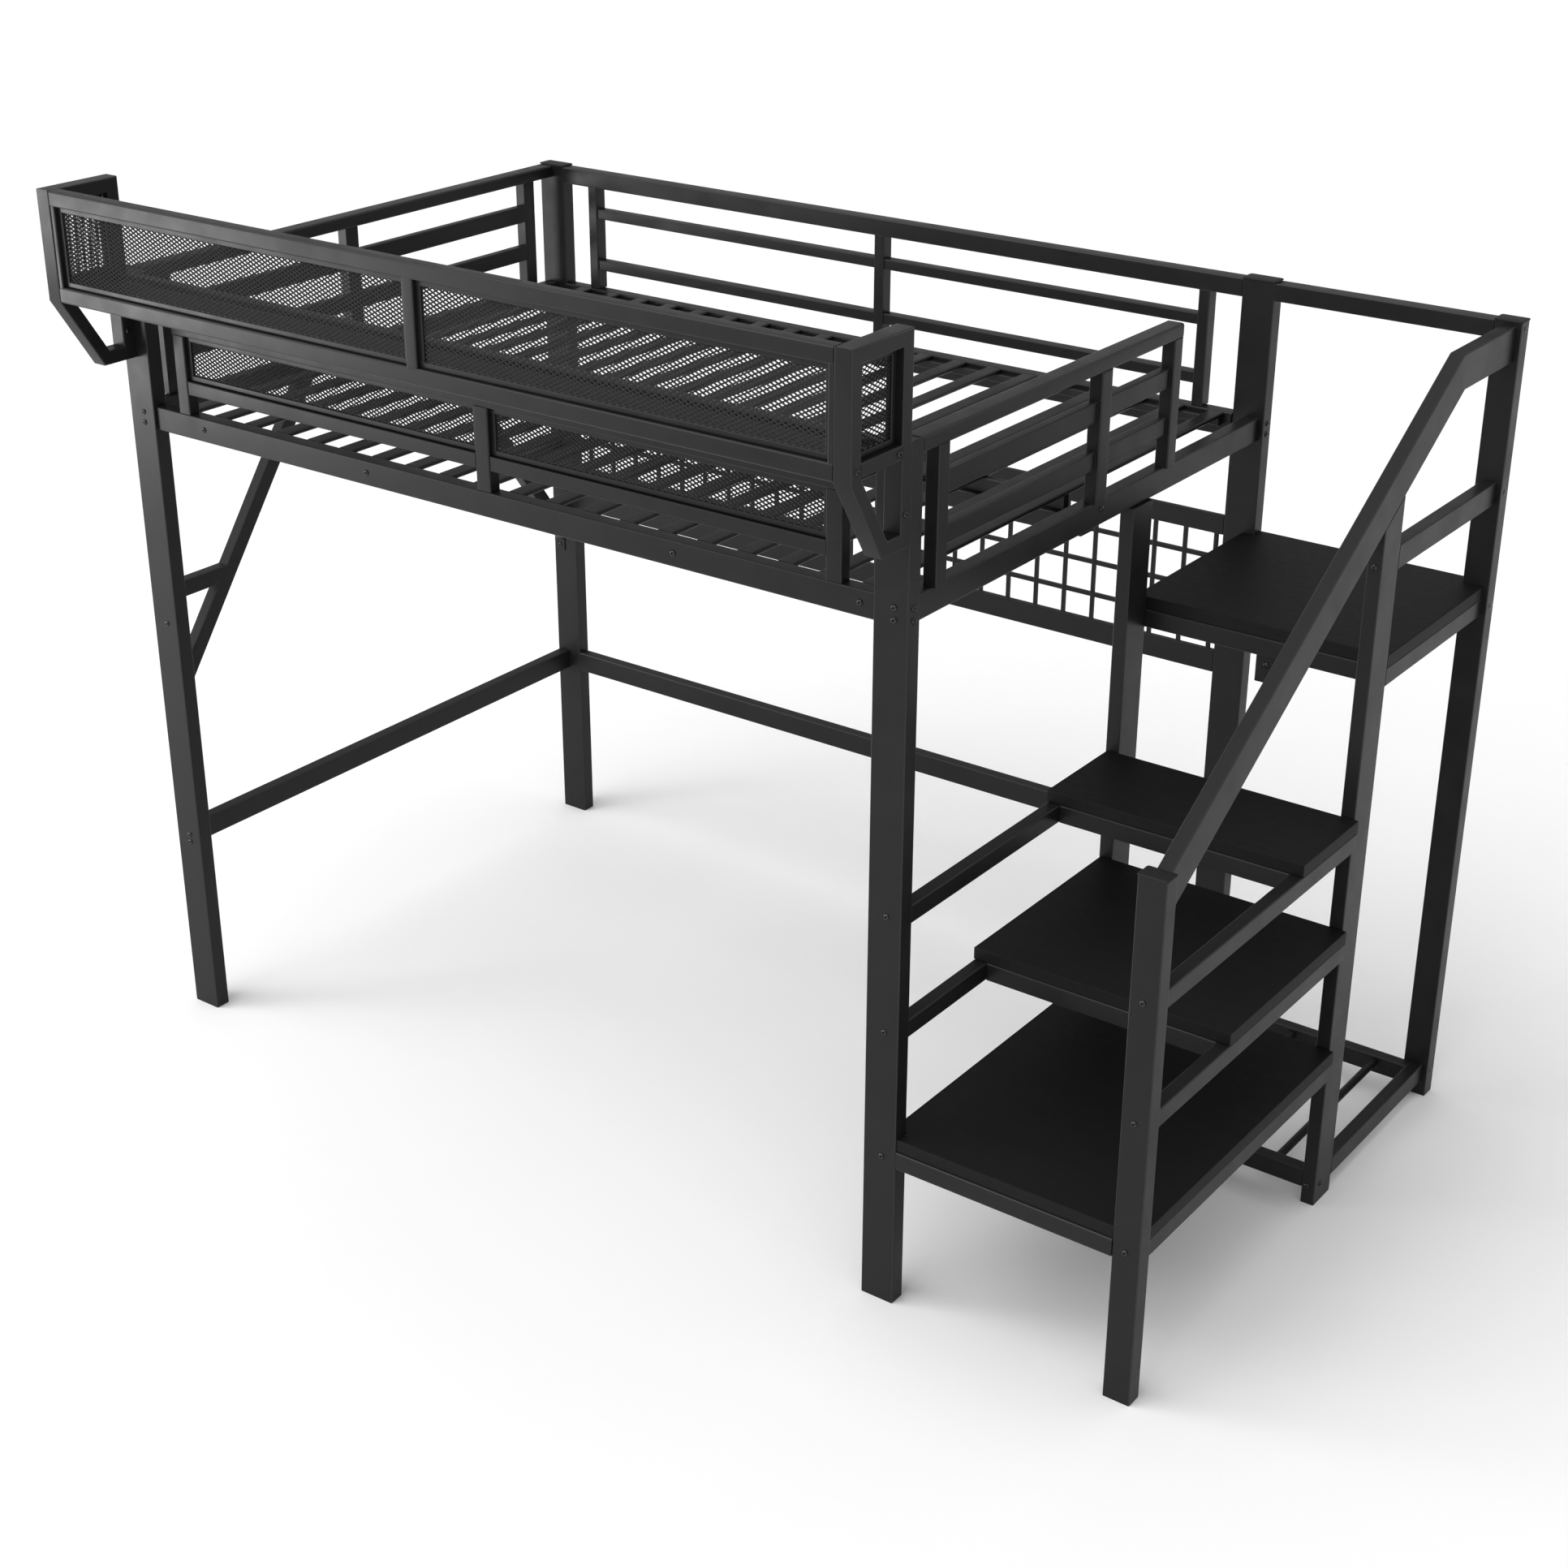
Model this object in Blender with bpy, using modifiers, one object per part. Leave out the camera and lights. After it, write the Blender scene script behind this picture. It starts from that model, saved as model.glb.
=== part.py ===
# A full-size loft bed in black powder-coated steel tube. A raised slat deck stands on four posts,
# with guard rails round it and a mesh basket hung on its front. A short stair with a landing and
# a slanting handrail stands at the right end, over a low rack and a hanging rod.
# Sizes are in metres. X runs along the bed, Y from front to back, Z up. Each size below is
# measured from the front left foot on the floor; place() then moves the origin to the middle
# of the footprint.

import math

import bmesh
import bpy
from mathutils import Matrix

# ---------------------------------------------------------------- main sizes
BED_LENGTH = 2.082
BED_DEPTH = 1.430
POST_HEIGHT = 1.828
STAIR_WIDTH = 0.550
BASKET_REACH = 0.185
BASKET_TOP = 2.032
TOTAL_LENGTH = BED_LENGTH + STAIR_WIDTH
HALF_LENGTH = BED_LENGTH / 2.0

GAP = 0.0003          # left between two pieces that touch
EDGE = 0.0025         # rounding on tube edges
FINE_EDGE = 0.0012    # rounding on thin bars and sheets

# ---------------------------------------------------------------- tubes
POST_X = 0.076
POST_Y = 0.038
STAIR_POST_X = 0.059
STAIR_POST_Y = 0.039
CAP_THICK = 0.004
CAP_LIP = 0.0015

RAIL_TOP = 1.528
RAIL_TALL = 0.053
SIDE_RAIL_FRONT_Y = 0.0074
SIDE_RAIL_THICK = 0.0346
END_RAIL_INSET = 0.012
END_RAIL_THICK = 0.033
LOWER_RAIL_LOW = 0.435
LOWER_RAIL_THICK = 0.030

# ---------------------------------------------------------------- slat deck
SLAT_COUNT = 20
SLAT_FIRST_X = 0.147
SLAT_LAST_INSET = 0.1129
SLAT_PITCH = (BED_LENGTH - SLAT_FIRST_X - SLAT_LAST_INSET) / (SLAT_COUNT - 1)
SLAT_WIDE = 0.036
SLAT_THICK = 0.010
STRINGER_WIDE = 0.020
STRINGER_TALL = 0.018
CENTER_RAIL_WIDE = 0.050
CENTER_RAIL_TALL = 0.040
CENTER_STRINGER_TALL = 0.031
WELD = 0.0006         # how far two bars of one welded piece run into each other

# ---------------------------------------------------------------- braces at the left end
BRACE_WIDE = 0.038
BRACE_ANGLE = math.radians(54.0)
BRACE_FOOT_Z = 0.812
BRACE_X = 0.008
BRACE_THICK = 0.030
LINK_LOW = 1.053
LINK_TALL = 0.039
FOOT_PLATE_LOW = 0.782
FOOT_PLATE_THICK = 0.003

# ---------------------------------------------------------------- guards
BACK_STILES = (
    (0.158, 0.186),
    (HALF_LENGTH + 0.003, HALF_LENGTH + 0.030),
    (BED_LENGTH - 0.1794, BED_LENGTH - 0.153),
)
BACK_TOP_TALL = 0.041
BACK_RAILS = ((1.577, 1.603), (1.709, 1.734))
BACK_GUARD_DEEP = 0.035
BACK_RAIL_DEEP = 0.028

END_TOP_TALL = 0.030
END_TOP_DEEP = 0.040
END_STILE_DEEP = 0.030
END_RAILS = ((1.600, 1.638), (1.698, 1.740))
END_GUARD_RAIL_INSET = 0.008
END_GUARD_RAIL_DEEP = 0.022
LEFT_STILES = (
    (0.089, 0.124),
    (BED_DEPTH / 2 - 0.051, BED_DEPTH / 2 - 0.011),
    (BED_DEPTH - 0.136, BED_DEPTH - 0.098),
)
RIGHT_STILES = (LEFT_STILES[0], LEFT_STILES[1], (BED_DEPTH - 0.476, BED_DEPTH - 0.442))

FRONT_STILES = (
    (0.153, 0.187),
    (HALF_LENGTH - 0.007, HALF_LENGTH + 0.030),
    (BED_LENGTH - 0.189, BED_LENGTH - 0.153),
)
FRONT_LOW_RAIL = (1.574, 1.605)
FRONT_TOP_RAIL = (1.704, 1.735)
FRONT_GUARD_DEEP = 0.030

# ---------------------------------------------------------------- basket
BRACKET_WIDE = 0.039
BASKET_TUBE = 0.030
BRACKET_FOOT_Z = 1.636
BRACKET_FOOT_Y = -0.087
BASKET_LOW_RAIL = (1.795, 1.829)
BASKET_TOP_RAIL_TALL = 0.033
BRACKET_MID_RAIL = (1.802, 1.830)
BASKET_MID_STILE = (HALF_LENGTH + 0.008, HALF_LENGTH + 0.036)
BASKET_END_STILE = 0.012
BASKET_FLOOR_Z = 1.815
SHEET = 0.003
MESH_FRAME = 0.0115
MESH_FRAME_DEEP = 0.010

# ---------------------------------------------------------------- stair
STAIR_POST_FRONT_Y = 0.0025
STAIR_POST_TALL = 1.134
LANDING_DEEP = 0.599
MID_POST_FRONT = BED_DEPTH - LANDING_DEEP
MID_POST_DEEP = 0.080
MID_POST_INNER_X = (BED_LENGTH - 0.036, BED_LENGTH - 0.004)
OUTER_TUBE_X = (TOTAL_LENGTH - 0.043, TOTAL_LENGTH - 0.012)
STEP_OUTER_X = (TOTAL_LENGTH - 0.032, TOTAL_LENGTH - 0.002)
STEP_INNER_THICK = 0.030
BOARD_THICK = 0.028
BOARD_BACK_Y = MID_POST_FRONT - 0.003
STEP_TUBE_TALL = 0.040
STEP_TUBE_THICK = 0.030
STEP_TOPS = (0.394, 0.680, 0.932)
STEP_FRONTS = (0.0, MID_POST_FRONT * 0.3827, MID_POST_FRONT * 0.7016)
LANDING_TOP = 1.2605
HANDRAIL_TALL = 0.076
HANDRAIL_TOP = 1.8205
HANDRAIL_BEND_Y = BED_DEPTH - 0.300
GUARD_BAR = (1.441, 1.491)
WING_RAIL = (1.789, 1.827)

# ---------------------------------------------------------------- rod, rack and grid
ROD_X = BED_LENGTH + STAIR_WIDTH / 2
ROD_Z = 1.146
ROD_RADIUS = 0.011
ROD_PLATE = 0.048
ROD_PLATE_LOW = 1.132
RACK_LOW = 0.037
RACK_TALL = 0.045
RACK_TUBE = 0.030
RACK_RODS_X = tuple(BED_LENGTH + 0.015 + STAIR_WIDTH * 0.378 * number for number in range(3))
RACK_ROD_RADIUS = 0.0095
GRID_LOW_RAIL = (0.911, 0.966)
GRID_TOP_RAIL = (1.244, 1.290)
GRID_RAIL_Y = (BED_DEPTH - 0.0378, BED_DEPTH - 0.0278)
GRID_BAR = 0.010
GRID_BAR_ACROSS_TALL = 0.012
GRID_BARS_DOWN = 25
GRID_FIRST_BAR_X = 0.138
GRID_LAST_BAR_X = BED_LENGTH - 0.0937
GRID_PITCH = (GRID_LAST_BAR_X - GRID_FIRST_BAR_X) / (GRID_BARS_DOWN - 1)
GRID_BARS_ACROSS_Z = (1.027, 1.107, 1.187)

# ---------------------------------------------------------------- sizes that follow
BACK_FACE = BED_DEPTH - POST_Y
MIDDLE_X = TOTAL_LENGTH / 2.0
MIDDLE_Y = (BED_DEPTH + CAP_LIP - BASKET_REACH) / 2.0
STAIR_POST_X0 = TOTAL_LENGTH - STAIR_POST_X
STAIR_POST_BACK_Y = BED_DEPTH - STAIR_POST_Y
MID_POST_BACK = MID_POST_FRONT + MID_POST_DEEP
RAIL_LOW = RAIL_TOP - RAIL_TALL

for old in list(bpy.data.objects):
    bpy.data.objects.remove(old, do_unlink=True)

bed = bpy.data.collections.new("loft_bed_with_stair")
bpy.context.scene.collection.children.link(bed)
cutters = bpy.data.collections.new("welded_on_bars")
bpy.context.scene.collection.children.link(cutters)


def material(name, shade, roughness, metallic):
    """One plain surface: a grey shade, how rough it is, and whether it is metal."""
    made = bpy.data.materials.new(name)
    made.use_nodes = True
    surface = made.node_tree.nodes["Principled BSDF"]
    surface.inputs["Base Color"].default_value = (shade, shade, shade, 1.0)
    surface.inputs["Roughness"].default_value = roughness
    surface.inputs["Metallic"].default_value = metallic
    made.diffuse_color = (shade * 4, shade * 4, shade * 4, 1.0)
    return made


STEEL = material("black_powder_coat", 0.035, 0.45, 0.0)
MESH_STEEL = material("black_coated_mesh", 0.028, 0.5, 0.0)
BOARD = material("black_board", 0.012, 0.6, 0.0)
PLASTIC = material("black_plastic_cap", 0.02, 0.55, 0.0)


def place(item, x, y, z):
    """Put an object at a point measured from the front left foot."""
    item.location = (x - MIDDLE_X, y - MIDDLE_Y, z)


def round_edges(item, width, segments=1):
    """Round the sharp edges of an object."""
    bevel = item.modifiers.new("rounded_edges", "BEVEL")
    bevel.width = width
    bevel.segments = segments
    bevel.limit_method = "ANGLE"
    bevel.angle_limit = math.radians(35.0)


def boxes_mesh(name, limits, middle):
    """A mesh of upright boxes, each given as (x0, x1, y0, y1, z0, z1), about one middle."""
    shape = bmesh.new()
    for x0, x1, y0, y1, z0, z1 in limits:
        made = bmesh.ops.create_cube(shape, size=1.0)["verts"]
        bmesh.ops.scale(shape, vec=(x1 - x0, y1 - y0, z1 - z0), verts=made)
        shift = ((x0 + x1) / 2 - middle[0], (y0 + y1) / 2 - middle[1], (z0 + z1) / 2 - middle[2])
        bmesh.ops.translate(shape, vec=shift, verts=made)
    mesh = bpy.data.meshes.new(name)
    shape.to_mesh(mesh)
    shape.free()
    return mesh


turn_x = Matrix.Rotation(math.pi / 2, 3, "X")
turn_y = Matrix.Rotation(math.pi / 2, 3, "Y")


def rods_mesh(name, rods, radius, middle, sides=10):
    """A mesh of round rods of one radius, each given by its two end points, about one middle."""
    shape = bmesh.new()
    for start, end in rods:
        run = [end[i] - start[i] for i in range(3)]
        length = math.sqrt(sum(part * part for part in run))
        made = bmesh.ops.create_cone(shape, cap_ends=True, segments=sides, radius1=radius,
                                     radius2=radius, depth=length)["verts"]
        if abs(run[0]) > abs(run[2]):
            bmesh.ops.rotate(shape, verts=made, matrix=turn_y)
        elif abs(run[1]) > abs(run[2]):
            bmesh.ops.rotate(shape, verts=made, matrix=turn_x)
        shift = [(start[i] + end[i]) / 2 - middle[i] for i in range(3)]
        bmesh.ops.translate(shape, vec=shift, verts=made)
    mesh = bpy.data.meshes.new(name)
    shape.to_mesh(mesh)
    shape.free()
    return mesh


def middle_of(limits):
    """The middle of the space that a list of boxes fills."""
    low = [min(one[axis] for one in limits) for axis in (0, 2, 4)]
    high = [max(one[axis] for one in limits) for axis in (1, 3, 5)]
    return [(a + b) / 2 for a, b in zip(low, high)]


def add(name, mesh, middle, surface, group=bed):
    """Link a mesh to a collection as an object at its middle."""
    item = bpy.data.objects.new(name, mesh)
    mesh.materials.append(surface)
    group.objects.link(item)
    place(item, *middle)
    return item


def tube(name, x, y, z, surface=STEEL, edge=EDGE):
    """One straight bar given by its limits along X, Y and Z."""
    limits = [(x[0], x[1], y[0], y[1], z[0], z[1])]
    middle = middle_of(limits)
    item = add(name, boxes_mesh(name, limits, middle), middle, surface)
    round_edges(item, edge)
    return item


def weld_on(item, mesh, middle, edge=0.0):
    """Join one more set of bars to an object, so that they make one solid."""
    extra = add(mesh.name, mesh, middle, item.data.materials[0], cutters)
    extra.hide_render = True
    extra.display_type = "WIRE"
    if edge:
        round_edges(extra, edge)
    join = item.modifiers.new("weld", "BOOLEAN")
    join.operation = "UNION"
    join.solver = "EXACT"
    join.object = extra


def welded(name, sets, surface=STEEL, edge=EDGE):
    """A welded frame. Each set holds bars that don't touch; each later set is joined to the first."""
    middle = middle_of([one for bars in sets for one in bars])
    item = add(name, boxes_mesh(name, sets[0], middle), middle, surface)
    round_edges(item, edge)
    for number, bars in enumerate(sets[1:], 1):
        weld_on(item, boxes_mesh(f"{name}_bars_{number}", bars, middle), middle, edge)
    return item


def slab(name, outline, low, high, across, holes=(), surface=STEEL, edge=EDGE):
    """A flat outline made thick. Across X the outline is in (y, z); across Z it is in (x, y)."""
    flat = bpy.data.curves.new(name, "CURVE")
    flat.dimensions = "2D"
    flat.fill_mode = "BOTH"
    flat.extrude = (high - low) / 2
    mid_a = (min(p[0] for p in outline) + max(p[0] for p in outline)) / 2
    mid_b = (min(p[1] for p in outline) + max(p[1] for p in outline)) / 2
    for points in (outline, *holes):
        line = flat.splines.new("POLY")
        line.points.add(len(points) - 1)
        for point, (a, b) in zip(line.points, points):
            point.co = (a - mid_a, b - mid_b, 0.0, 1.0)
        line.use_cyclic_u = True
    flat.materials.append(surface)
    item = bpy.data.objects.new(name, flat)
    bed.objects.link(item)
    if across == "X":
        item.rotation_euler = (math.pi / 2, 0.0, math.pi / 2)
        place(item, (low + high) / 2, mid_a, mid_b)
    else:
        place(item, mid_a, mid_b, (low + high) / 2)
    weld = item.modifiers.new("weld_caps", "WELD")
    weld.merge_threshold = 0.00001
    round_edges(item, edge)
    return item


# ---------------------------------------------------------------- four posts of the bed
for end_name, x0 in (("left", 0.0), ("right", BED_LENGTH - POST_X)):
    for side_name, y0 in (("front", 0.0), ("back", BACK_FACE)):
        tube(f"post_{side_name}_{end_name}", (x0, x0 + POST_X), (y0, y0 + POST_Y), (0.0, POST_HEIGHT))

# A thin plastic cap closes the top of each back post and stands a little proud of it.
for end_name, x0 in (("left", 0.0), ("right", BED_LENGTH - POST_X)):
    tube(f"cap_back_{end_name}", (x0 - CAP_LIP, x0 + POST_X + CAP_LIP),
         (BACK_FACE - CAP_LIP, BED_DEPTH + CAP_LIP),
         (POST_HEIGHT + GAP, POST_HEIGHT + GAP + CAP_THICK), PLASTIC, FINE_EDGE)

# ---------------------------------------------------------------- rails round the deck
BETWEEN_POSTS_X = (POST_X + GAP, BED_LENGTH - POST_X - GAP)
BETWEEN_POSTS_Y = (POST_Y + GAP, BACK_FACE - GAP)
FRONT_RAIL_BACK = SIDE_RAIL_FRONT_Y + SIDE_RAIL_THICK
BACK_RAIL_FRONT = BED_DEPTH - FRONT_RAIL_BACK

tube("side_rail_front", BETWEEN_POSTS_X, (SIDE_RAIL_FRONT_Y, FRONT_RAIL_BACK), (RAIL_LOW, RAIL_TOP))
tube("side_rail_back", BETWEEN_POSTS_X, (BACK_RAIL_FRONT, BED_DEPTH - SIDE_RAIL_FRONT_Y),
     (RAIL_LOW, RAIL_TOP))
END_RAIL_INNER = END_RAIL_INSET + END_RAIL_THICK
tube("end_rail_left", (END_RAIL_INSET, END_RAIL_INNER), BETWEEN_POSTS_Y, (RAIL_LOW, RAIL_TOP))
tube("end_rail_right", (BED_LENGTH - END_RAIL_INNER, BED_LENGTH - END_RAIL_INSET),
     BETWEEN_POSTS_Y, (RAIL_LOW, RAIL_TOP))

# Low rails tie the posts together at the left end and along the back.
LOWER_RAIL_Z = (LOWER_RAIL_LOW, LOWER_RAIL_LOW + RAIL_TALL)
tube("lower_rail_left", (BRACE_X, BRACE_X + LOWER_RAIL_THICK), BETWEEN_POSTS_Y, LOWER_RAIL_Z)
tube("lower_rail_back", BETWEEN_POSTS_X, (BACK_FACE, BACK_FACE + LOWER_RAIL_THICK), LOWER_RAIL_Z)

# ---------------------------------------------------------------- slat deck
# Two welded ladders of slats drop in between the side rails. A strip runs under the slats at
# the front, the back and the middle, and the middle strip rests on one long centre rail.
DECK_Y = (FRONT_RAIL_BACK + GAP, BACK_RAIL_FRONT - GAP)
SLAT_LOW = RAIL_TOP - SLAT_THICK
DECK_MIDDLE = BED_DEPTH / 2
CENTER_RAIL_TOP = SLAT_LOW - CENTER_STRINGER_TALL
for end_name, first in (("left", 0), ("right", SLAT_COUNT // 2)):
    slats = []
    for number in range(first, first + SLAT_COUNT // 2):
        x = SLAT_FIRST_X + number * SLAT_PITCH
        slats.append((x - SLAT_WIDE / 2, x + SLAT_WIDE / 2, *DECK_Y, SLAT_LOW, RAIL_TOP))
    run = (slats[0][0] + WELD, slats[-1][1] - WELD)
    side = STRINGER_WIDE
    strips = [
        (*run, DECK_Y[0], DECK_Y[0] + side, SLAT_LOW - STRINGER_TALL, SLAT_LOW + WELD),
        (*run, DECK_Y[1] - side, DECK_Y[1], SLAT_LOW - STRINGER_TALL, SLAT_LOW + WELD),
        (*run, DECK_MIDDLE - side / 2, DECK_MIDDLE + side / 2, CENTER_RAIL_TOP, SLAT_LOW + WELD),
    ]
    welded(f"slat_panel_{end_name}", [slats, strips], edge=FINE_EDGE)

tube("center_rail", (END_RAIL_INNER + GAP, BED_LENGTH - END_RAIL_INNER - GAP),
     (DECK_MIDDLE - CENTER_RAIL_WIDE / 2, DECK_MIDDLE + CENTER_RAIL_WIDE / 2),
     (CENTER_RAIL_TOP - GAP - CENTER_RAIL_TALL, CENTER_RAIL_TOP - GAP))

# ---------------------------------------------------------------- braces at the left end
# Each brace slants from a foot plate on a post up to the end rail, with a short level link
# back to the post.
slope = math.tan(BRACE_ANGLE)
brace_upright = BRACE_WIDE / math.cos(BRACE_ANGLE)
plate_y = POST_Y + GAP
foot_y = plate_y + FOOT_PLATE_THICK
brace_top = RAIL_LOW - GAP
upper_foot = BRACE_FOOT_Z + brace_upright
link_high = LINK_LOW + LINK_TALL
brace_outline = [
    (plate_y, FOOT_PLATE_LOW),
    (foot_y, FOOT_PLATE_LOW),
    (foot_y, BRACE_FOOT_Z),
    (foot_y + (brace_top - BRACE_FOOT_Z) / slope, brace_top),
    (foot_y + (brace_top - upper_foot) / slope, brace_top),
    (foot_y + (link_high - upper_foot) / slope, link_high),
    (plate_y, link_high),
    (plate_y, LINK_LOW),
    (foot_y + (LINK_LOW - upper_foot) / slope, LINK_LOW),
    (foot_y, upper_foot),
    (plate_y, upper_foot),
]
slab("brace_left_front", brace_outline, BRACE_X, BRACE_X + BRACE_THICK, "X", edge=FINE_EDGE)
slab("brace_left_back", [(BED_DEPTH - y, z) for y, z in reversed(brace_outline)],
     BRACE_X, BRACE_X + BRACE_THICK, "X", edge=FINE_EDGE)

# ---------------------------------------------------------------- back guard
stile_foot = RAIL_TOP + GAP
back_y = (BACK_FACE, BACK_FACE + BACK_GUARD_DEEP)
inset = (BACK_GUARD_DEEP - BACK_RAIL_DEEP) / 2
back_top = POST_HEIGHT - BACK_TOP_TALL
welded("guard_back", [
    [(*BETWEEN_POSTS_X, *back_y, back_top, POST_HEIGHT)],
    [(x0, x1, back_y[0] + WELD, back_y[1] - WELD, stile_foot, back_top + EDGE + WELD)
     for x0, x1 in BACK_STILES],
    [(BACK_STILES[0][0] + EDGE, BACK_STILES[-1][1] - EDGE, back_y[0] + inset, back_y[1] - inset, *z)
     for z in BACK_RAILS],
])

# ---------------------------------------------------------------- guards at the two ends
top_low = POST_HEIGHT - END_TOP_TALL


def end_guard(name, stiles, y_end, flip):
    """A guard at one end: a flat top rail, upright stiles, and two rails between them."""
    def limits(near, far, y0, y1, z0, z1):
        """Limits given inwards from the outer face of the end."""
        if flip:
            return (BED_LENGTH - far, BED_LENGTH - near, y0, y1, z0, z1)
        return (near, far, y0, y1, z0, z1)

    top = [limits(0.0, END_TOP_DEEP, BETWEEN_POSTS_Y[0], y_end, top_low, POST_HEIGHT)]
    uprights = [limits(WELD, END_STILE_DEEP, y0, y1 - WELD, stile_foot, top_low + EDGE + WELD)
                for y0, y1 in stiles]
    inset_x = END_GUARD_RAIL_INSET
    rails = [limits(inset_x, inset_x + END_GUARD_RAIL_DEEP, stiles[0][0] + EDGE,
                    stiles[-1][1] - EDGE, *z) for z in END_RAILS]
    welded(name, [top, uprights, rails])


end_guard("guard_left", LEFT_STILES, BETWEEN_POSTS_Y[1], False)
end_guard("guard_right", RIGHT_STILES, RIGHT_STILES[-1][1], True)

# ---------------------------------------------------------------- front guard with mesh
front_y = (SIDE_RAIL_FRONT_Y, SIDE_RAIL_FRONT_Y + FRONT_GUARD_DEEP)
welded("guard_front_frame", [
    [(FRONT_STILES[0][0], FRONT_STILES[-1][1], *front_y, *FRONT_TOP_RAIL)],
    [(x0 + WELD, x1 - WELD, front_y[0] + WELD, front_y[1] - WELD, stile_foot,
      FRONT_TOP_RAIL[0] + EDGE + WELD) for x0, x1 in FRONT_STILES],
    [(FRONT_STILES[0][0] + EDGE, FRONT_STILES[-1][1] - EDGE, front_y[0] + 2 * WELD,
      front_y[1] - 2 * WELD, *FRONT_LOW_RAIL)],
])


def mesh_panel(name, x, y, z, thin):
    """A sheet of mesh held in a narrow frame. thin names the axis that the sheet is thin along."""
    spans = {"X": x, "Y": y, "Z": z}
    flat = [axis for axis in "XYZ" if axis != thin]
    middle = sum(spans[thin]) / 2
    deep = (middle - MESH_FRAME_DEEP / 2, middle + MESH_FRAME_DEEP / 2)
    sheet = (middle - SHEET / 2, middle + SHEET / 2)

    def bar(first, second, through):
        """Limits of one bar from its spans along the two flat axes and the thin one."""
        found = {flat[0]: first, flat[1]: second, thin: through}
        return (*found["X"], *found["Y"], *found["Z"])

    (a0, a1), (b0, b1) = spans[flat[0]], spans[flat[1]]
    wide = MESH_FRAME
    less = (deep[0] + WELD, deep[1] - WELD)
    welded(name, [
        [bar((a0, a1), (b0, b0 + wide), deep), bar((a0, a1), (b1 - wide, b1), deep)],
        [bar((a0 + WELD, a0 + wide), (b0 + WELD, b1 - WELD), less),
         bar((a1 - wide, a1 - WELD), (b0 + WELD, b1 - WELD), less)],
        [bar((a0 + wide / 2, a1 - wide / 2), (b0 + wide / 2, b1 - wide / 2), sheet)],
    ], MESH_STEEL, FINE_EDGE / 2)


guard_mesh_z = (FRONT_LOW_RAIL[1] + GAP, FRONT_TOP_RAIL[0] - GAP)
mesh_panel("guard_front_mesh_left", (FRONT_STILES[0][1] - WELD + GAP, FRONT_STILES[1][0] + WELD - GAP),
           front_y, guard_mesh_z, "Y")
mesh_panel("guard_front_mesh_right", (FRONT_STILES[1][1] - WELD + GAP, FRONT_STILES[2][0] + WELD - GAP),
           front_y, guard_mesh_z, "Y")

# ---------------------------------------------------------------- basket on the front
# A bracket at each end hangs on the front of a post: a tube rectangle with a triangle below.
basket_front = -BASKET_REACH
basket_back = -GAP
bracket_outline = [
    (basket_front, BASKET_LOW_RAIL[0]),
    (BRACKET_FOOT_Y, BRACKET_FOOT_Z),
    (basket_back, BRACKET_FOOT_Z),
    (basket_back, BASKET_TOP),
    (basket_front, BASKET_TOP),
]
inner_front = basket_front + BASKET_TUBE
inner_back = basket_back - BASKET_TUBE - 0.003
window = [
    (inner_front, BRACKET_MID_RAIL[1]),
    (inner_back, BRACKET_MID_RAIL[1]),
    (inner_back, BASKET_TOP - BASKET_TUBE),
    (inner_front, BASKET_TOP - BASKET_TUBE),
]
triangle = [
    (inner_front + 0.003, BRACKET_MID_RAIL[0]),
    (inner_back, BRACKET_FOOT_Z + 0.022),
    (inner_back, BRACKET_MID_RAIL[0]),
]
for end_name, x0 in (("left", 0.0), ("right", BED_LENGTH - BRACKET_WIDE)):
    slab(f"basket_bracket_{end_name}", bracket_outline, x0, x0 + BRACKET_WIDE, "X",
         holes=(window, triangle), edge=FINE_EDGE)
    mesh_panel(f"basket_mesh_end_{end_name}", (x0, x0 + BRACKET_WIDE),
               (inner_front + GAP, inner_back - GAP),
               (BRACKET_MID_RAIL[1] + GAP, BASKET_TOP - BASKET_TUBE - GAP), "X")

basket_x = (BRACKET_WIDE + GAP, BED_LENGTH - BRACKET_WIDE - GAP)
basket_y = (basket_front, inner_front)
basket_top_low = BASKET_TOP - BASKET_TOP_RAIL_TALL
end_stiles = [(basket_x[0], basket_x[0] + BASKET_END_STILE), BASKET_MID_STILE,
              (basket_x[1] - BASKET_END_STILE, basket_x[1])]
welded("basket_front_frame", [
    [(*basket_x, *basket_y, *BASKET_LOW_RAIL), (*basket_x, *basket_y, basket_top_low, BASKET_TOP)],
    [(x0 + WELD, x1 - WELD, basket_y[0] + WELD, basket_y[1] - WELD,
      BASKET_LOW_RAIL[1] - EDGE - WELD, basket_top_low + EDGE + WELD) for x0, x1 in end_stiles],
])
for side_name, x0, x1 in (("left", end_stiles[0][1], end_stiles[1][0]),
                          ("right", end_stiles[1][1], end_stiles[2][0])):
    mesh_panel(f"basket_mesh_front_{side_name}", (x0 - WELD + GAP, x1 + WELD - GAP), basket_y,
               (BASKET_LOW_RAIL[1] + GAP, basket_top_low - GAP), "Y")

tube("basket_back_rail", basket_x, (inner_back, inner_back + BASKET_TUBE - 0.001), BRACKET_MID_RAIL)
tube("basket_floor_mesh", basket_x, (inner_front + GAP, inner_back - GAP),
     (BASKET_FLOOR_Z - SHEET / 2, BASKET_FLOOR_Z + SHEET / 2), MESH_STEEL, FINE_EDGE / 2)

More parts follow.
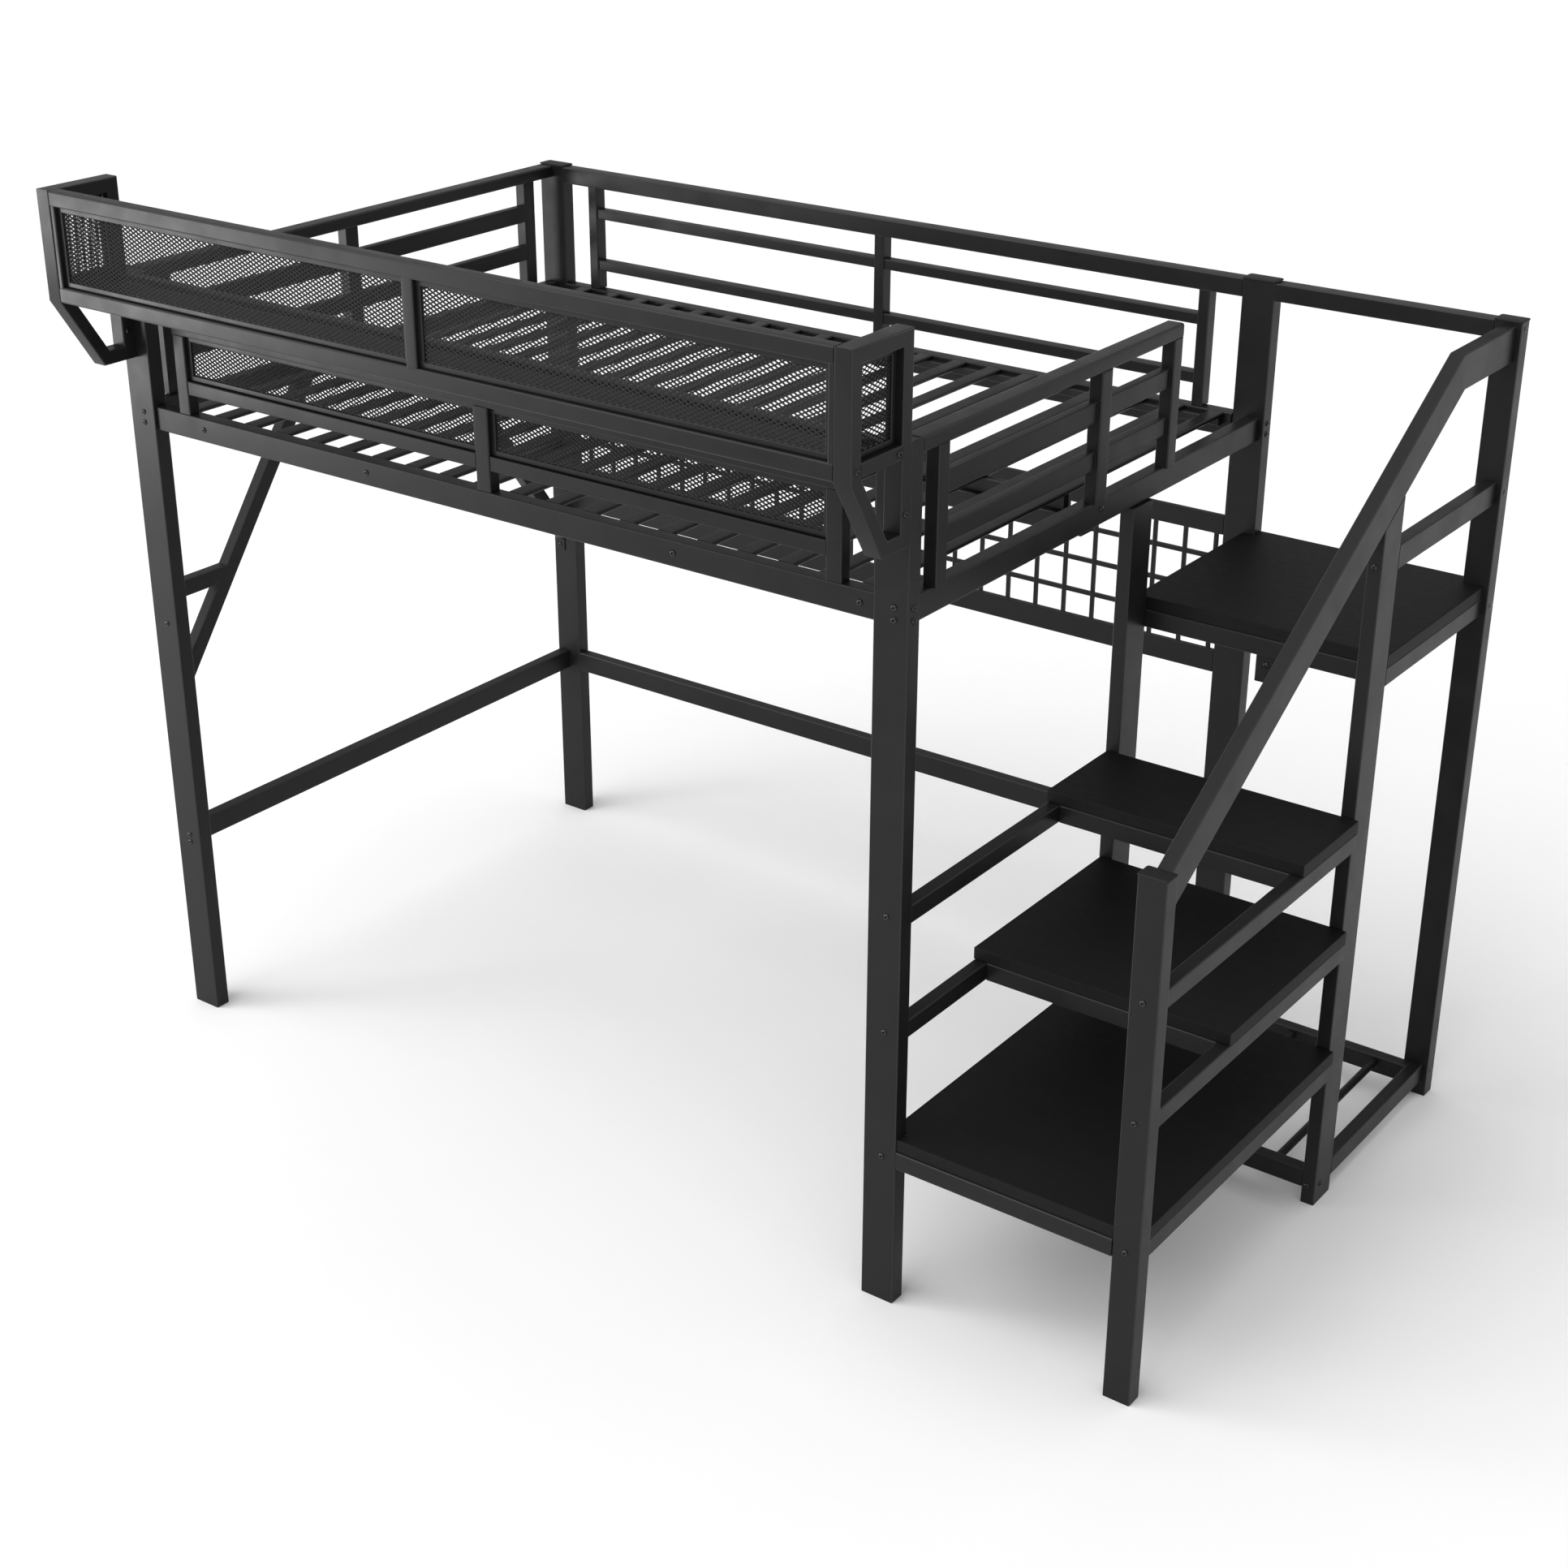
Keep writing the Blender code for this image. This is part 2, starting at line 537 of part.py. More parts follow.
# ---------------------------------------------------------------- stair posts
tube("stair_post_front", (STAIR_POST_X0, TOTAL_LENGTH),
     (STAIR_POST_FRONT_Y, STAIR_POST_FRONT_Y + STAIR_POST_Y), (0.0, STAIR_POST_TALL))
tube("stair_post_back", (STAIR_POST_X0, TOTAL_LENGTH), (STAIR_POST_BACK_Y, BED_DEPTH),
     (0.0, POST_HEIGHT))
tube("cap_stair_front", (STAIR_POST_X0 - CAP_LIP, TOTAL_LENGTH + CAP_LIP),
     (STAIR_POST_FRONT_Y - CAP_LIP, STAIR_POST_FRONT_Y + STAIR_POST_Y - GAP),
     (STAIR_POST_TALL + GAP, STAIR_POST_TALL + GAP + CAP_THICK), PLASTIC, FINE_EDGE)
tube("cap_stair_back", (STAIR_POST_X0 - CAP_LIP, TOTAL_LENGTH + CAP_LIP),
     (STAIR_POST_BACK_Y - CAP_LIP, BED_DEPTH + CAP_LIP),
     (POST_HEIGHT + GAP, POST_HEIGHT + GAP + CAP_THICK), PLASTIC, FINE_EDGE)
tube("stair_post_mid_inner", MID_POST_INNER_X, (MID_POST_FRONT, MID_POST_BACK),
     (0.0, RAIL_LOW - GAP))

# ---------------------------------------------------------------- handrail
# It rises from the back of the short front post, bends level and ends at the tall back post.
rail_y0 = STAIR_POST_FRONT_Y + STAIR_POST_Y + GAP
rail_y1 = STAIR_POST_BACK_Y - GAP
rise = (HANDRAIL_TOP - STAIR_POST_TALL) / (HANDRAIL_BEND_Y - POST_Y)
upright = HANDRAIL_TALL * math.sqrt(1.0 + rise * rise)
start_top = STAIR_POST_TALL + rise * (rail_y0 - POST_Y)
start_low = start_top - upright
low_bend_y = rail_y0 + (HANDRAIL_TOP - HANDRAIL_TALL - start_low) / rise
slab("handrail", [
    (rail_y0, start_low),
    (low_bend_y, HANDRAIL_TOP - HANDRAIL_TALL),
    (rail_y1, HANDRAIL_TOP - HANDRAIL_TALL),
    (rail_y1, HANDRAIL_TOP),
    (HANDRAIL_BEND_Y, HANDRAIL_TOP),
    (rail_y0, start_top),
], *OUTER_TUBE_X, "X")


def under_handrail(y):
    """The height just under the slanting part of the handrail."""
    return start_low + rise * (y - rail_y0) - GAP * 1.2


slab("stair_post_mid_outer", [
    (MID_POST_FRONT, 0.0),
    (MID_POST_BACK, 0.0),
    (MID_POST_BACK, under_handrail(MID_POST_BACK)),
    (MID_POST_FRONT, under_handrail(MID_POST_FRONT)),
], *OUTER_TUBE_X, "X")

tube("landing_guard_bar", OUTER_TUBE_X, (MID_POST_BACK + GAP, rail_y1), GUARD_BAR)
tube("wing_rail", (BED_LENGTH + GAP, STAIR_POST_X0 - GAP), (BACK_FACE, BED_DEPTH), WING_RAIL)

# ---------------------------------------------------------------- steps
# Each step is a board on three tubes: one along the bed, one along the outside, one in front.
step_inner_x = (BED_LENGTH - STEP_INNER_THICK, BED_LENGTH)
for number, (top, front) in enumerate(zip(STEP_TOPS, STEP_FRONTS), 1):
    board_low = top - BOARD_THICK
    tube_z = (board_low - GAP - STEP_TUBE_TALL, board_low - GAP)
    tube(f"step_rail_inner_{number}", step_inner_x, (POST_Y + GAP, MID_POST_FRONT - GAP), tube_z)
    tube(f"step_rail_outer_{number}", STEP_OUTER_X, (rail_y0, MID_POST_FRONT - GAP), tube_z)
    cross_end = STAIR_POST_X0 if number == 1 else STEP_OUTER_X[0]
    tube(f"step_rail_front_{number}", (BED_LENGTH + GAP, cross_end - GAP),
         (front, front + STEP_TUBE_THICK), tube_z)
    x0, x1 = step_inner_x[0], STEP_OUTER_X[1]
    if number == 1:
        # The lowest board is notched round the two front posts.
        board_front = front + 0.003
        inner_x, inner_y = BED_LENGTH + GAP, POST_Y + GAP
        outer_x, outer_y = STAIR_POST_X0 - GAP, rail_y0
        outline = [(inner_x, board_front), (outer_x, board_front), (outer_x, outer_y),
                   (x1, outer_y), (x1, BOARD_BACK_Y), (x0, BOARD_BACK_Y), (x0, inner_y),
                   (inner_x, inner_y)]
    else:
        outline = [(x0, front), (x1, front), (x1, BOARD_BACK_Y), (x0, BOARD_BACK_Y)]
    slab(f"step_board_{number}", outline, board_low, top, "Z", surface=BOARD, edge=FINE_EDGE)

# ---------------------------------------------------------------- landing
board_low = LANDING_TOP - BOARD_THICK
tube_z = (board_low - GAP - STEP_TUBE_TALL, board_low - GAP)
landing_front = MID_POST_BACK + GAP
tube("landing_rail_front", (MID_POST_INNER_X[0], OUTER_TUBE_X[0] - GAP),
     (landing_front, landing_front + STEP_TUBE_THICK), tube_z)
tube("landing_rail_outer", OUTER_TUBE_X, (landing_front, rail_y1), tube_z)
tube("landing_rail_back", (BED_LENGTH + GAP, STAIR_POST_X0 - GAP),
     (BACK_FACE, BACK_FACE + STEP_TUBE_THICK), tube_z)
bed_side, far_side = BED_LENGTH + GAP, STAIR_POST_X0 - GAP
board_back = BED_DEPTH - 0.002
slab("landing_board", [
    (step_inner_x[0], landing_front), (OUTER_TUBE_X[1], landing_front),
    (OUTER_TUBE_X[1], STAIR_POST_BACK_Y - GAP), (far_side, STAIR_POST_BACK_Y - GAP),
    (far_side, board_back), (bed_side, board_back), (bed_side, BACK_FACE - GAP),
    (step_inner_x[0], BACK_FACE - GAP),
], board_low, LANDING_TOP, "Z", surface=BOARD, edge=FINE_EDGE)

# ---------------------------------------------------------------- hanging rod under the landing
plate_top = tube_z[0] - GAP
plate_x = (ROD_X - ROD_PLATE / 2, ROD_X + ROD_PLATE / 2)
front_plate = (landing_front + 0.008, landing_front + 0.022)
back_plate = (BACK_FACE + 0.008, BACK_FACE + 0.022)
plates = [(*plate_x, *front_plate, ROD_PLATE_LOW, plate_top),
          (*plate_x, *back_plate, ROD_PLATE_LOW, plate_top)]
rod_middle = middle_of(plates)
rod = add("clothes_rod", boxes_mesh("clothes_rod", plates, rod_middle), rod_middle, STEEL)
round_edges(rod, FINE_EDGE)
rod_ends = ((ROD_X, front_plate[1] - 0.004, ROD_Z + 0.001), (ROD_X, back_plate[0] + 0.004, ROD_Z + 0.001))
weld_on(rod, rods_mesh("clothes_rod_bar", [rod_ends], ROD_RADIUS, rod_middle, 16), rod_middle)

# ---------------------------------------------------------------- low rack at the floor
rack_z = (RACK_LOW, RACK_LOW + RACK_TALL)
rack_y1 = STAIR_POST_BACK_Y - GAP
rack_front = (MID_POST_INNER_X[1] + GAP, OUTER_TUBE_X[0] - GAP, MID_POST_FRONT,
              MID_POST_FRONT + RACK_TUBE, *rack_z)
rack_outer = (*OUTER_TUBE_X, MID_POST_BACK + GAP, rack_y1, *rack_z)
rack_back = (BED_LENGTH + GAP, OUTER_TUBE_X[0] + EDGE + WELD, rack_y1 - RACK_TUBE - WELD,
             rack_y1 - WELD, rack_z[0] + WELD, rack_z[1] - WELD)
rack_sets = [[rack_front, rack_outer], [rack_back]]
rack_middle = middle_of([rack_front, rack_outer, rack_back])
rack = welded("rack_frame", rack_sets)
rack_rods = [((x, MID_POST_FRONT + RACK_TUBE / 2, RACK_LOW + RACK_TALL * 0.6),
              (x, rack_y1 - RACK_TUBE / 2, RACK_LOW + RACK_TALL * 0.6)) for x in RACK_RODS_X]
weld_on(rack, rods_mesh("rack_rods", rack_rods, RACK_ROD_RADIUS, rack_middle, 14), rack_middle)

# ---------------------------------------------------------------- grid along the back
bars_down_y = (GRID_RAIL_Y[0] + WELD, GRID_RAIL_Y[1] - WELD)
bars_across_y = (GRID_RAIL_Y[0] + 3 * WELD, GRID_RAIL_Y[1] - 3 * WELD)
bars_down = [(GRID_FIRST_BAR_X + number * GRID_PITCH - GRID_BAR / 2,
              GRID_FIRST_BAR_X + number * GRID_PITCH + GRID_BAR / 2,
              *bars_down_y, GRID_LOW_RAIL[1] - 0.006, GRID_TOP_RAIL[0] + 0.006)
             for number in range(GRID_BARS_DOWN)]
bars_across = [(*BETWEEN_POSTS_X, *bars_across_y, z - GRID_BAR_ACROSS_TALL / 2,
                z + GRID_BAR_ACROSS_TALL / 2) for z in GRID_BARS_ACROSS_Z]
welded("grid_panel", [
    [(*BETWEEN_POSTS_X, *GRID_RAIL_Y, *z) for z in (GRID_LOW_RAIL, GRID_TOP_RAIL)],
    bars_down, bars_across,
], edge=FINE_EDGE)
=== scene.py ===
# A loft bed of black powder-coated steel tube, put together from the floor up: posts, the rails
# and slats of the deck, the guards, the hung basket, the stair with its landing, rack and grid.
# Lengths are in metres, measured from the front left foot; X runs to the stair, Y to the back.
import math

import bpy
import numpy as np
from mathutils import Matrix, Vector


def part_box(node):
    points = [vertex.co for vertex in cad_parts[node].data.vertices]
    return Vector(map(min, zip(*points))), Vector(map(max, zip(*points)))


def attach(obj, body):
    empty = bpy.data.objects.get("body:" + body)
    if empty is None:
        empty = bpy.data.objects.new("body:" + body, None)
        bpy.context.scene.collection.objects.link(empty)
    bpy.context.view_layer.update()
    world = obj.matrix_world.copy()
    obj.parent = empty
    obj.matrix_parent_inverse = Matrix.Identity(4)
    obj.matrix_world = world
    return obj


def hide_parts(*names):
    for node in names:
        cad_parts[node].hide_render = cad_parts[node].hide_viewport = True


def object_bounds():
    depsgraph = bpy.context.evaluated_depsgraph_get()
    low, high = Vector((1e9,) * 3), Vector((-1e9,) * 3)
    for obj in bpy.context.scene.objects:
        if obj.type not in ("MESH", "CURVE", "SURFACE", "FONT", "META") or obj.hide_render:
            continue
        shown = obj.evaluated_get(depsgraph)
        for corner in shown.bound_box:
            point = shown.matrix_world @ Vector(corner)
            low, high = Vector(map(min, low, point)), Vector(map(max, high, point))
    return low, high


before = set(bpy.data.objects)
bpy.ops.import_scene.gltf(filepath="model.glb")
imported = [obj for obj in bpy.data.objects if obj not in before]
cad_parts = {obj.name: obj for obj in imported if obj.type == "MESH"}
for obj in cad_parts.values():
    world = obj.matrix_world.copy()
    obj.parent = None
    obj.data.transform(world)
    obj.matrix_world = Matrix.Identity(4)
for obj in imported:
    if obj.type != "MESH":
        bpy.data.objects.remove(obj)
cad_low, cad_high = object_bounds()


# ---------------------------------------------------------------- the four posts of the bed
# Upright steel tubes, 76 by 38 mm with small rounded corners, powder-coated satin black. Each
# foot is closed by a plastic plug pressed a little way in.
FOOT = np.array(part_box("post_front_left")[0])
POST_WIDE, POST_DEEP, POST_CORNER = 0.076, 0.038, 0.0025


def linear(shade):
    """An sRGB hex colour as linear red, green, blue and alpha."""
    parts = [int(shade[i:i + 2], 16) / 255.0 for i in (1, 3, 5)]
    return [((c + 0.055) / 1.055) ** 2.4 if c > 0.04045 else c / 12.92 for c in parts] + [1.0]


def add_node(tree, kind, settings=None, inputs=None):
    """One shader node, with its settings, and its sockets set to values or linked to outputs."""
    made = tree.nodes.new(kind)
    for name, value in (settings or {}).items():
        setattr(made, name, value)
    for name, value in (inputs or {}).items():
        if isinstance(value, bpy.types.NodeSocket):
            tree.links.new(value, made.inputs[name])
        else:
            made.inputs[name].default_value = value
    return made


def new_surface(name, shade, roughness, metallic=0.0):
    """A plain material with one Principled shader; returns the material, its tree and shader."""
    made = bpy.data.materials.new(name)
    made.use_nodes = True
    shader = made.node_tree.nodes["Principled BSDF"]
    shader.inputs["Base Color"].default_value = linear(shade)
    shader.inputs["Roughness"].default_value = roughness
    shader.inputs["Metallic"].default_value = metallic
    return made, made.node_tree, shader


# Satin black powder coat: polyester powder sprayed on the tube and baked, which leaves a faint
# orange-peel ripple and a soft wide sheen. Over the rounded corners the colour is lightened: a
# painted highlight that stands in for edge highlights too thin to show.
ORANGE_PEEL = 0.0026    # ripple spacing; the real one is under a millimetre and would not show
POWDER_CLOUD = 0.09     # patches where the powder lies a little thicker
POWDER_SPECK = 0.0011   # the finest specks that the coat shows
powder_coat, tree, shader = new_surface("satin_black_powder_coat", "#202021", 0.42)
shader.inputs["IOR"].default_value = 1.45
shader.inputs["Specular IOR Level"].default_value = 0.19
place = add_node(tree, "ShaderNodeTexCoord").outputs["Object"]
peel = add_node(tree, "ShaderNodeTexNoise", inputs={"Vector": place, "Scale": 1 / ORANGE_PEEL,
                                                    "Detail": 2.0})
cloud = add_node(tree, "ShaderNodeTexNoise", inputs={"Vector": place, "Scale": 1 / POWDER_CLOUD,
                                                     "Detail": 3.0, "Roughness": 0.6})
speck = add_node(tree, "ShaderNodeTexNoise", inputs={"Vector": place, "Scale": 1 / POWDER_SPECK,
                                                     "Detail": 1.0})
uneven = add_node(tree, "ShaderNodeMapRange",
                  inputs={"Value": cloud.outputs["Fac"], "From Min": 0.3, "From Max": 0.7,
                          "To Min": 0.31, "To Max": 0.42})
tree.links.new(uneven.outputs["Result"], shader.inputs["Roughness"])
# The corner mask lightens the colour over the rounded corners of the tubes: a painted highlight.
corner = add_node(tree, "ShaderNodeAttribute", {"attribute_name": "corner"})
painted_edge_highlight = add_node(tree, "ShaderNodeMath", {"operation": "MULTIPLY"},
                {0: corner.outputs["Fac"], 1: 0.4})
tone = add_node(tree, "ShaderNodeMix", {"data_type": "RGBA"},
                {"Factor": cloud.outputs["Fac"], "A": linear("#191919"), "B": linear("#202021")})
dusty = add_node(tree, "ShaderNodeMapRange", inputs={"Value": speck.outputs["Fac"],
                                                     "From Min": 0.62, "From Max": 0.8,
                                                     "To Min": 0.0, "To Max": 0.25})
toned = add_node(tree, "ShaderNodeMix", {"data_type": "RGBA"},
                 {"Factor": dusty.outputs["Result"], "A": tone.outputs["Result"],
                  "B": linear("#343435")})
edge_highlighted = add_node(tree, "ShaderNodeMix", {"data_type": "RGBA"},
                 {"Factor": painted_edge_highlight.outputs["Value"], "A": toned.outputs["Result"],
                  "B": linear("#48484a")})
tree.links.new(edge_highlighted.outputs["Result"], shader.inputs["Base Color"])
ripple = add_node(tree, "ShaderNodeBump", inputs={"Height": peel.outputs["Fac"], "Strength": 0.22,
                                                  "Distance": 0.0004})
tree.links.new(ripple.outputs["Normal"], shader.inputs["Normal"])


def rounded(half_a, half_b, radius, steps=3):
    """A rectangle with quarter-circle corners: four corner centres, each with an arc of points.
    Returns the points and, for each, 1 if it lies within an arc and 0 where a flat begins."""
    turn = np.linspace(0.0, np.pi / 2, steps + 1)
    quarter = np.arange(4)[:, None] * np.pi / 2 + turn[None, :]
    sign_a = np.array([1, -1, -1, 1])[:, None]
    sign_b = np.array([1, 1, -1, -1])[:, None]
    a = sign_a * (half_a - radius) + radius * np.cos(quarter)
    b = sign_b * (half_b - radius) + radius * np.sin(quarter)
    curved = np.broadcast_to(np.sin(2 * turn) > 0.1, a.shape)
    return np.stack([a.ravel(), b.ravel()], 1), curved.ravel().astype(float)


def skin(rings, corner, closed=False):
    """Quads over a stack of rings: ring i point k joins ring i+1 point k+1. A stack that isn't
    closed on itself gets one flat face at each end."""
    count, around = rings.shape[:2]
    first = np.arange(count if closed else count - 1)[:, None]
    step = np.arange(around)[None, :]
    after, beside = (first + 1) % count, (step + 1) % around
    quads = np.stack([first * around + step, first * around + beside,
                      after * around + beside, after * around + step], -1).reshape(-1, 4)
    faces = quads.tolist()
    if not closed:
        faces.append(list(range(around))[::-1])
        faces.append(list(range((count - 1) * around, count * around)))
    return rings.reshape(-1, 3), faces, np.tile(corner, count)


CUT_EDGE = 0.0012   # rounding of a tube's sawn end


def straight_tube(low, high, radius=0.004, lip=0.003, recess=0.0012):
    """A rounded rectangle carried straight along the longest side of its box. At each end the
    outline draws in by the corner's rounding, then steps down to a plug."""
    low, high = np.array(low, float), np.array(high, float)
    size = high - low
    along = int(np.argmax(size))
    a, b = (along + 1) % 3, (along + 2) % 3
    half_a, half_b = size[a] / 2, size[b] / 2
    radius = min(radius, half_a * 0.9, half_b * 0.9)
    lip = min(lip, half_a * 0.5, half_b * 0.5)
    soft = min(CUT_EDGE, radius)
    outline, corner = rounded(half_a, half_b, radius)
    middle = (low + high) / 2
    # Each pair says how far along from the end a ring is, and how far it is drawn in.
    ends = [(recess, lip + 0.0004), (0.0, lip), (0.0, soft), (soft * 0.3, soft * 0.3), (soft, 0.0)]
    spot, drawn = np.array(ends + [(size[along] - s, d) for s, d in ends[::-1]]).T
    rings = np.zeros((len(spot), len(outline), 3))
    rings[:, :, along] = low[along] + spot[:, None]
    rings[:, :, a] = middle[a] + outline[None, :, 0] * (1 - drawn / half_a)[:, None]
    rings[:, :, b] = middle[b] + outline[None, :, 1] * (1 - drawn / half_b)[:, None]
    return skin(rings, corner)


def add_piece(name, parts, surface, nodes=(), smooth_to=50.0):
    """One object from several skins, riding on the frame and standing for CAD nodes."""
    points, faces, corners, start = [], [], [], 0
    for part_points, part_faces, part_corners in parts:
        points.append(part_points)
        faces += [[start + index for index in face] for face in part_faces]
        corners.append(part_corners)
        start += len(part_points)
    mesh = bpy.data.meshes.new(name)
    mesh.from_pydata(np.concatenate(points), [], faces)
    mesh.attributes.new("corner", "FLOAT", "POINT").data.foreach_set(
        "value", np.concatenate(corners).astype(np.float32))
    mesh.shade_smooth()
    mesh.set_sharp_from_angle(angle=math.radians(smooth_to))
    mesh.materials.append(surface)
    made = bpy.data.objects.new(name, mesh)
    bpy.context.scene.collection.objects.link(made)
    even = made.modifiers.new("flat_faces_stay_flat", "WEIGHTED_NORMAL")
    even.keep_sharp = True
    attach(made, "root")
    if nodes:
        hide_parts(*nodes)
    return made


def add_tubes(nodes, radius):
    """One powder-coated tube in the box of each CAD node."""
    for node in nodes:
        add_piece(node + "_tube", [straight_tube(*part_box(node), radius)], powder_coat, [node])


add_tubes([f"post_{side_name}_{end_name}" for end_name in ("left", "right")
           for side_name in ("front", "back")], POST_CORNER)


# ---------------------------------------------------------------- post caps
# Injection-moulded black plastic caps, 4 mm thick, pressed into the open tops of the posts.
# Each stands a little proud and is slightly crowned.
MOULD_GRAIN = 0.0009   # the spark-eroded mould leaves a fine matt grain
CAP_CORNER = 0.004
plastic, tree, shader = new_surface("moulded_black_plastic", "#161617", 0.5)
shader.inputs["Specular IOR Level"].default_value = 0.25
place = add_node(tree, "ShaderNodeTexCoord").outputs["Object"]
grain = add_node(tree, "ShaderNodeTexNoise", inputs={"Vector": place, "Scale": 1 / MOULD_GRAIN,
                                                     "Detail": 2.0})
matt = add_node(tree, "ShaderNodeBump", inputs={"Height": grain.outputs["Fac"], "Strength": 0.2,
                                                "Distance": 0.0002})
tree.links.new(matt.outputs["Normal"], shader.inputs["Normal"])


def crowned_cap(low, high):
    """A low plug top: the outline rises straight, rounds over, then climbs to a crown."""
    low, high = np.array(low, float), np.array(high, float)
    middle, half = (low + high) / 2, (high - low) / 2
    tall = high[2] - low[2]
    outline, corner = rounded(half[0], half[1], CAP_CORNER)
    # The rise is a share of the cap's height, and the outline is drawn in by metres.
    rise = np.array([0.0, 0.55, 0.75, 0.88, 0.97, 1.0])
    drawn = np.array([0.0, 0.0, 0.0008, 0.0025, 0.008, 0.017])
    rings = np.zeros((len(rise), len(outline), 3))
    rings[:, :, 0] = middle[0] + outline[None, :, 0] * (1 - drawn / half[0])[:, None]
    rings[:, :, 1] = middle[1] + outline[None, :, 1] * (1 - drawn / half[1])[:, None]
    rings[:, :, 2] = low[2] + tall * rise[:, None]
    return skin(rings, corner)


for node in ("cap_back_left", "cap_back_right", "cap_stair_front", "cap_stair_back"):
    add_piece(node + "_plug", [crowned_cap(*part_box(node))], plastic, [node])


# ---------------------------------------------------------------- rails round the deck
# Square-cornered steel tube, 53 mm tall, bolted between the posts at deck height, with lighter
# tube tying the posts together low down at the left end and along the back.
RAIL_CORNER = 0.003
add_tubes(["side_rail_front", "side_rail_back", "end_rail_left", "end_rail_right",
           "lower_rail_left", "lower_rail_back", "center_rail"], RAIL_CORNER)


# ---------------------------------------------------------------- the slat deck
# Flat steel slats, 36 by 10 mm with rolled edges, welded on to three strips that run under
# them. Two such ladders drop in between the side rails.
SLATS_EACH = 10
SLAT_WIDE, SLAT_THICK, SLAT_ROLL = 0.036, 0.010, 0.0035
STRIP_WIDE, STRIP_DEEP, STRIP_ROLL = 0.020, 0.018, 0.0025
STRIP_SHORT, STRIP_SUNK = 0.001, 0.0006   # short of the ladder's end, and into the slats' backs


def box_tube(x, y, z, radius=0.003, lip=0.003):
    """A straight tube given by its limits, measured from the front left foot."""
    low = FOOT + np.array((x[0], y[0], z[0]))
    high = FOOT + np.array((x[1], y[1], z[1]))
    return straight_tube(low, high, radius, lip)


for end_name in ("left", "right"):
    node = f"slat_panel_{end_name}"
    low, high = (np.array(corner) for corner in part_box(node))
    under = high[2] - SLAT_THICK
    pitch = (high[0] - low[0] - SLAT_WIDE) / (SLATS_EACH - 1)
    slats = [straight_tube((low[0] + number * pitch, low[1], under),
                           (low[0] + number * pitch + SLAT_WIDE, high[1], high[2]), SLAT_ROLL)
             for number in range(SLATS_EACH)]
    middle = (low[1] + high[1]) / 2
    strips = [straight_tube((low[0] + STRIP_SHORT, y, under - deep),
                            (high[0] - STRIP_SHORT, y + STRIP_WIDE, under + STRIP_SUNK), STRIP_ROLL)
              for y, deep in ((low[1], STRIP_DEEP), (high[1] - STRIP_WIDE, STRIP_DEEP),
                              (middle - STRIP_WIDE / 2, under - low[2]))]
    add_piece(node + "_ladder", slats + strips, powder_coat, [node])


# ---------------------------------------------------------------- braces at the left end
# Two slanting tubes brace the left posts. Each is cut upright at the post and level under the
# end rail, is welded to a thin foot plate that is screwed on, and has a short level link.
def carried(points, cuts, tall, x, radius=0.003, closed=False):
    """A rounded rectangle carried along a path in the upright YZ plane. Each station has the
    point on the tube's outer edge and the cut, the way across the tube for each metre of its
    height, so that a slanted cut or a mitre keeps the tube's true section."""
    points, cuts = np.array(points, float), np.array(cuts, float)
    half_a, half_b = (x[1] - x[0]) / 2, tall / 2
    outline, corner = rounded(half_a, half_b, radius)
    rings = np.zeros((len(points), len(outline), 3))
    rings[:, :, 0] = FOOT[0] + (x[0] + x[1]) / 2 + outline[None, :, 0]
    across = half_b + outline[None, :, 1]
    rings[:, :, 1] = FOOT[1] + points[:, None, 0] + across * cuts[:, None, 0]
    rings[:, :, 2] = FOOT[2] + points[:, None, 1] + across * cuts[:, None, 1]
    way = np.cross(points[1] - points[0], cuts[0])
    if way < 0:
        rings = rings[:, ::-1]
        corner = corner[::-1]
    return skin(rings, corner, closed)


SEAT = 0.0003   # the gap left between pieces that touch
DEPTH, RAIL_UNDER = 1.430, 1.475
BRACE_TALL, BRACE_FOOT, BRACE_X = 0.038, 0.812, (0.008, 0.038)
BRACE_SLOPE = math.tan(math.radians(54.0))
LINK_LOW, LINK_TALL = 1.053, 0.039
PLATE_LOW, PLATE_TOP, PLATE_THICK, PLATE_EDGE = 0.782, 0.877, 0.003, 0.001
lean = math.sqrt(1 + BRACE_SLOPE ** 2)
post_face = POST_DEEP + SEAT
brace_y = post_face + PLATE_THICK
brace_top_y = brace_y + (RAIL_UNDER - BRACE_FOOT) / BRACE_SLOPE
link_end = brace_y + (LINK_LOW - BRACE_FOOT - BRACE_TALL * lean) / BRACE_SLOPE
# A cut straight up is as long as the tube is tall times the slant; a level cut is shorter.
upright_cut, level_cut = (0.0, lean), (-lean / BRACE_SLOPE, 0.0)


def to_side(y_and_z, side_name):
    """Points in Y and Z at the front post, or the same points mirrored to the back one."""
    points = np.array(y_and_z, float)
    return points * (-1, 1) + (DEPTH, 0) if side_name == "back" else points


for side_name in ("front", "back"):
    way = np.array((-1, 1)) if side_name == "back" else np.array((1, 1))
    slant = carried(to_side([(brace_y, BRACE_FOOT), (brace_top_y, RAIL_UNDER)], side_name),
                    np.array([upright_cut, level_cut]) * way, BRACE_TALL, BRACE_X)
    link = carried(to_side([(post_face, LINK_LOW), (link_end, LINK_LOW)], side_name),
                   np.array([(0.0, 1.0), (1 / BRACE_SLOPE, 1.0)]) * way, LINK_TALL, BRACE_X)
    plate_y = sorted(to_side([(post_face, 0.0), (brace_y, 0.0)], side_name)[:, 0])
    plate = box_tube(BRACE_X, plate_y, (PLATE_LOW, PLATE_TOP), PLATE_EDGE, PLATE_EDGE / 2)
    add_piece(f"brace_left_{side_name}_tubes", [slant, link, plate], powder_coat,
              [f"brace_left_{side_name}"])


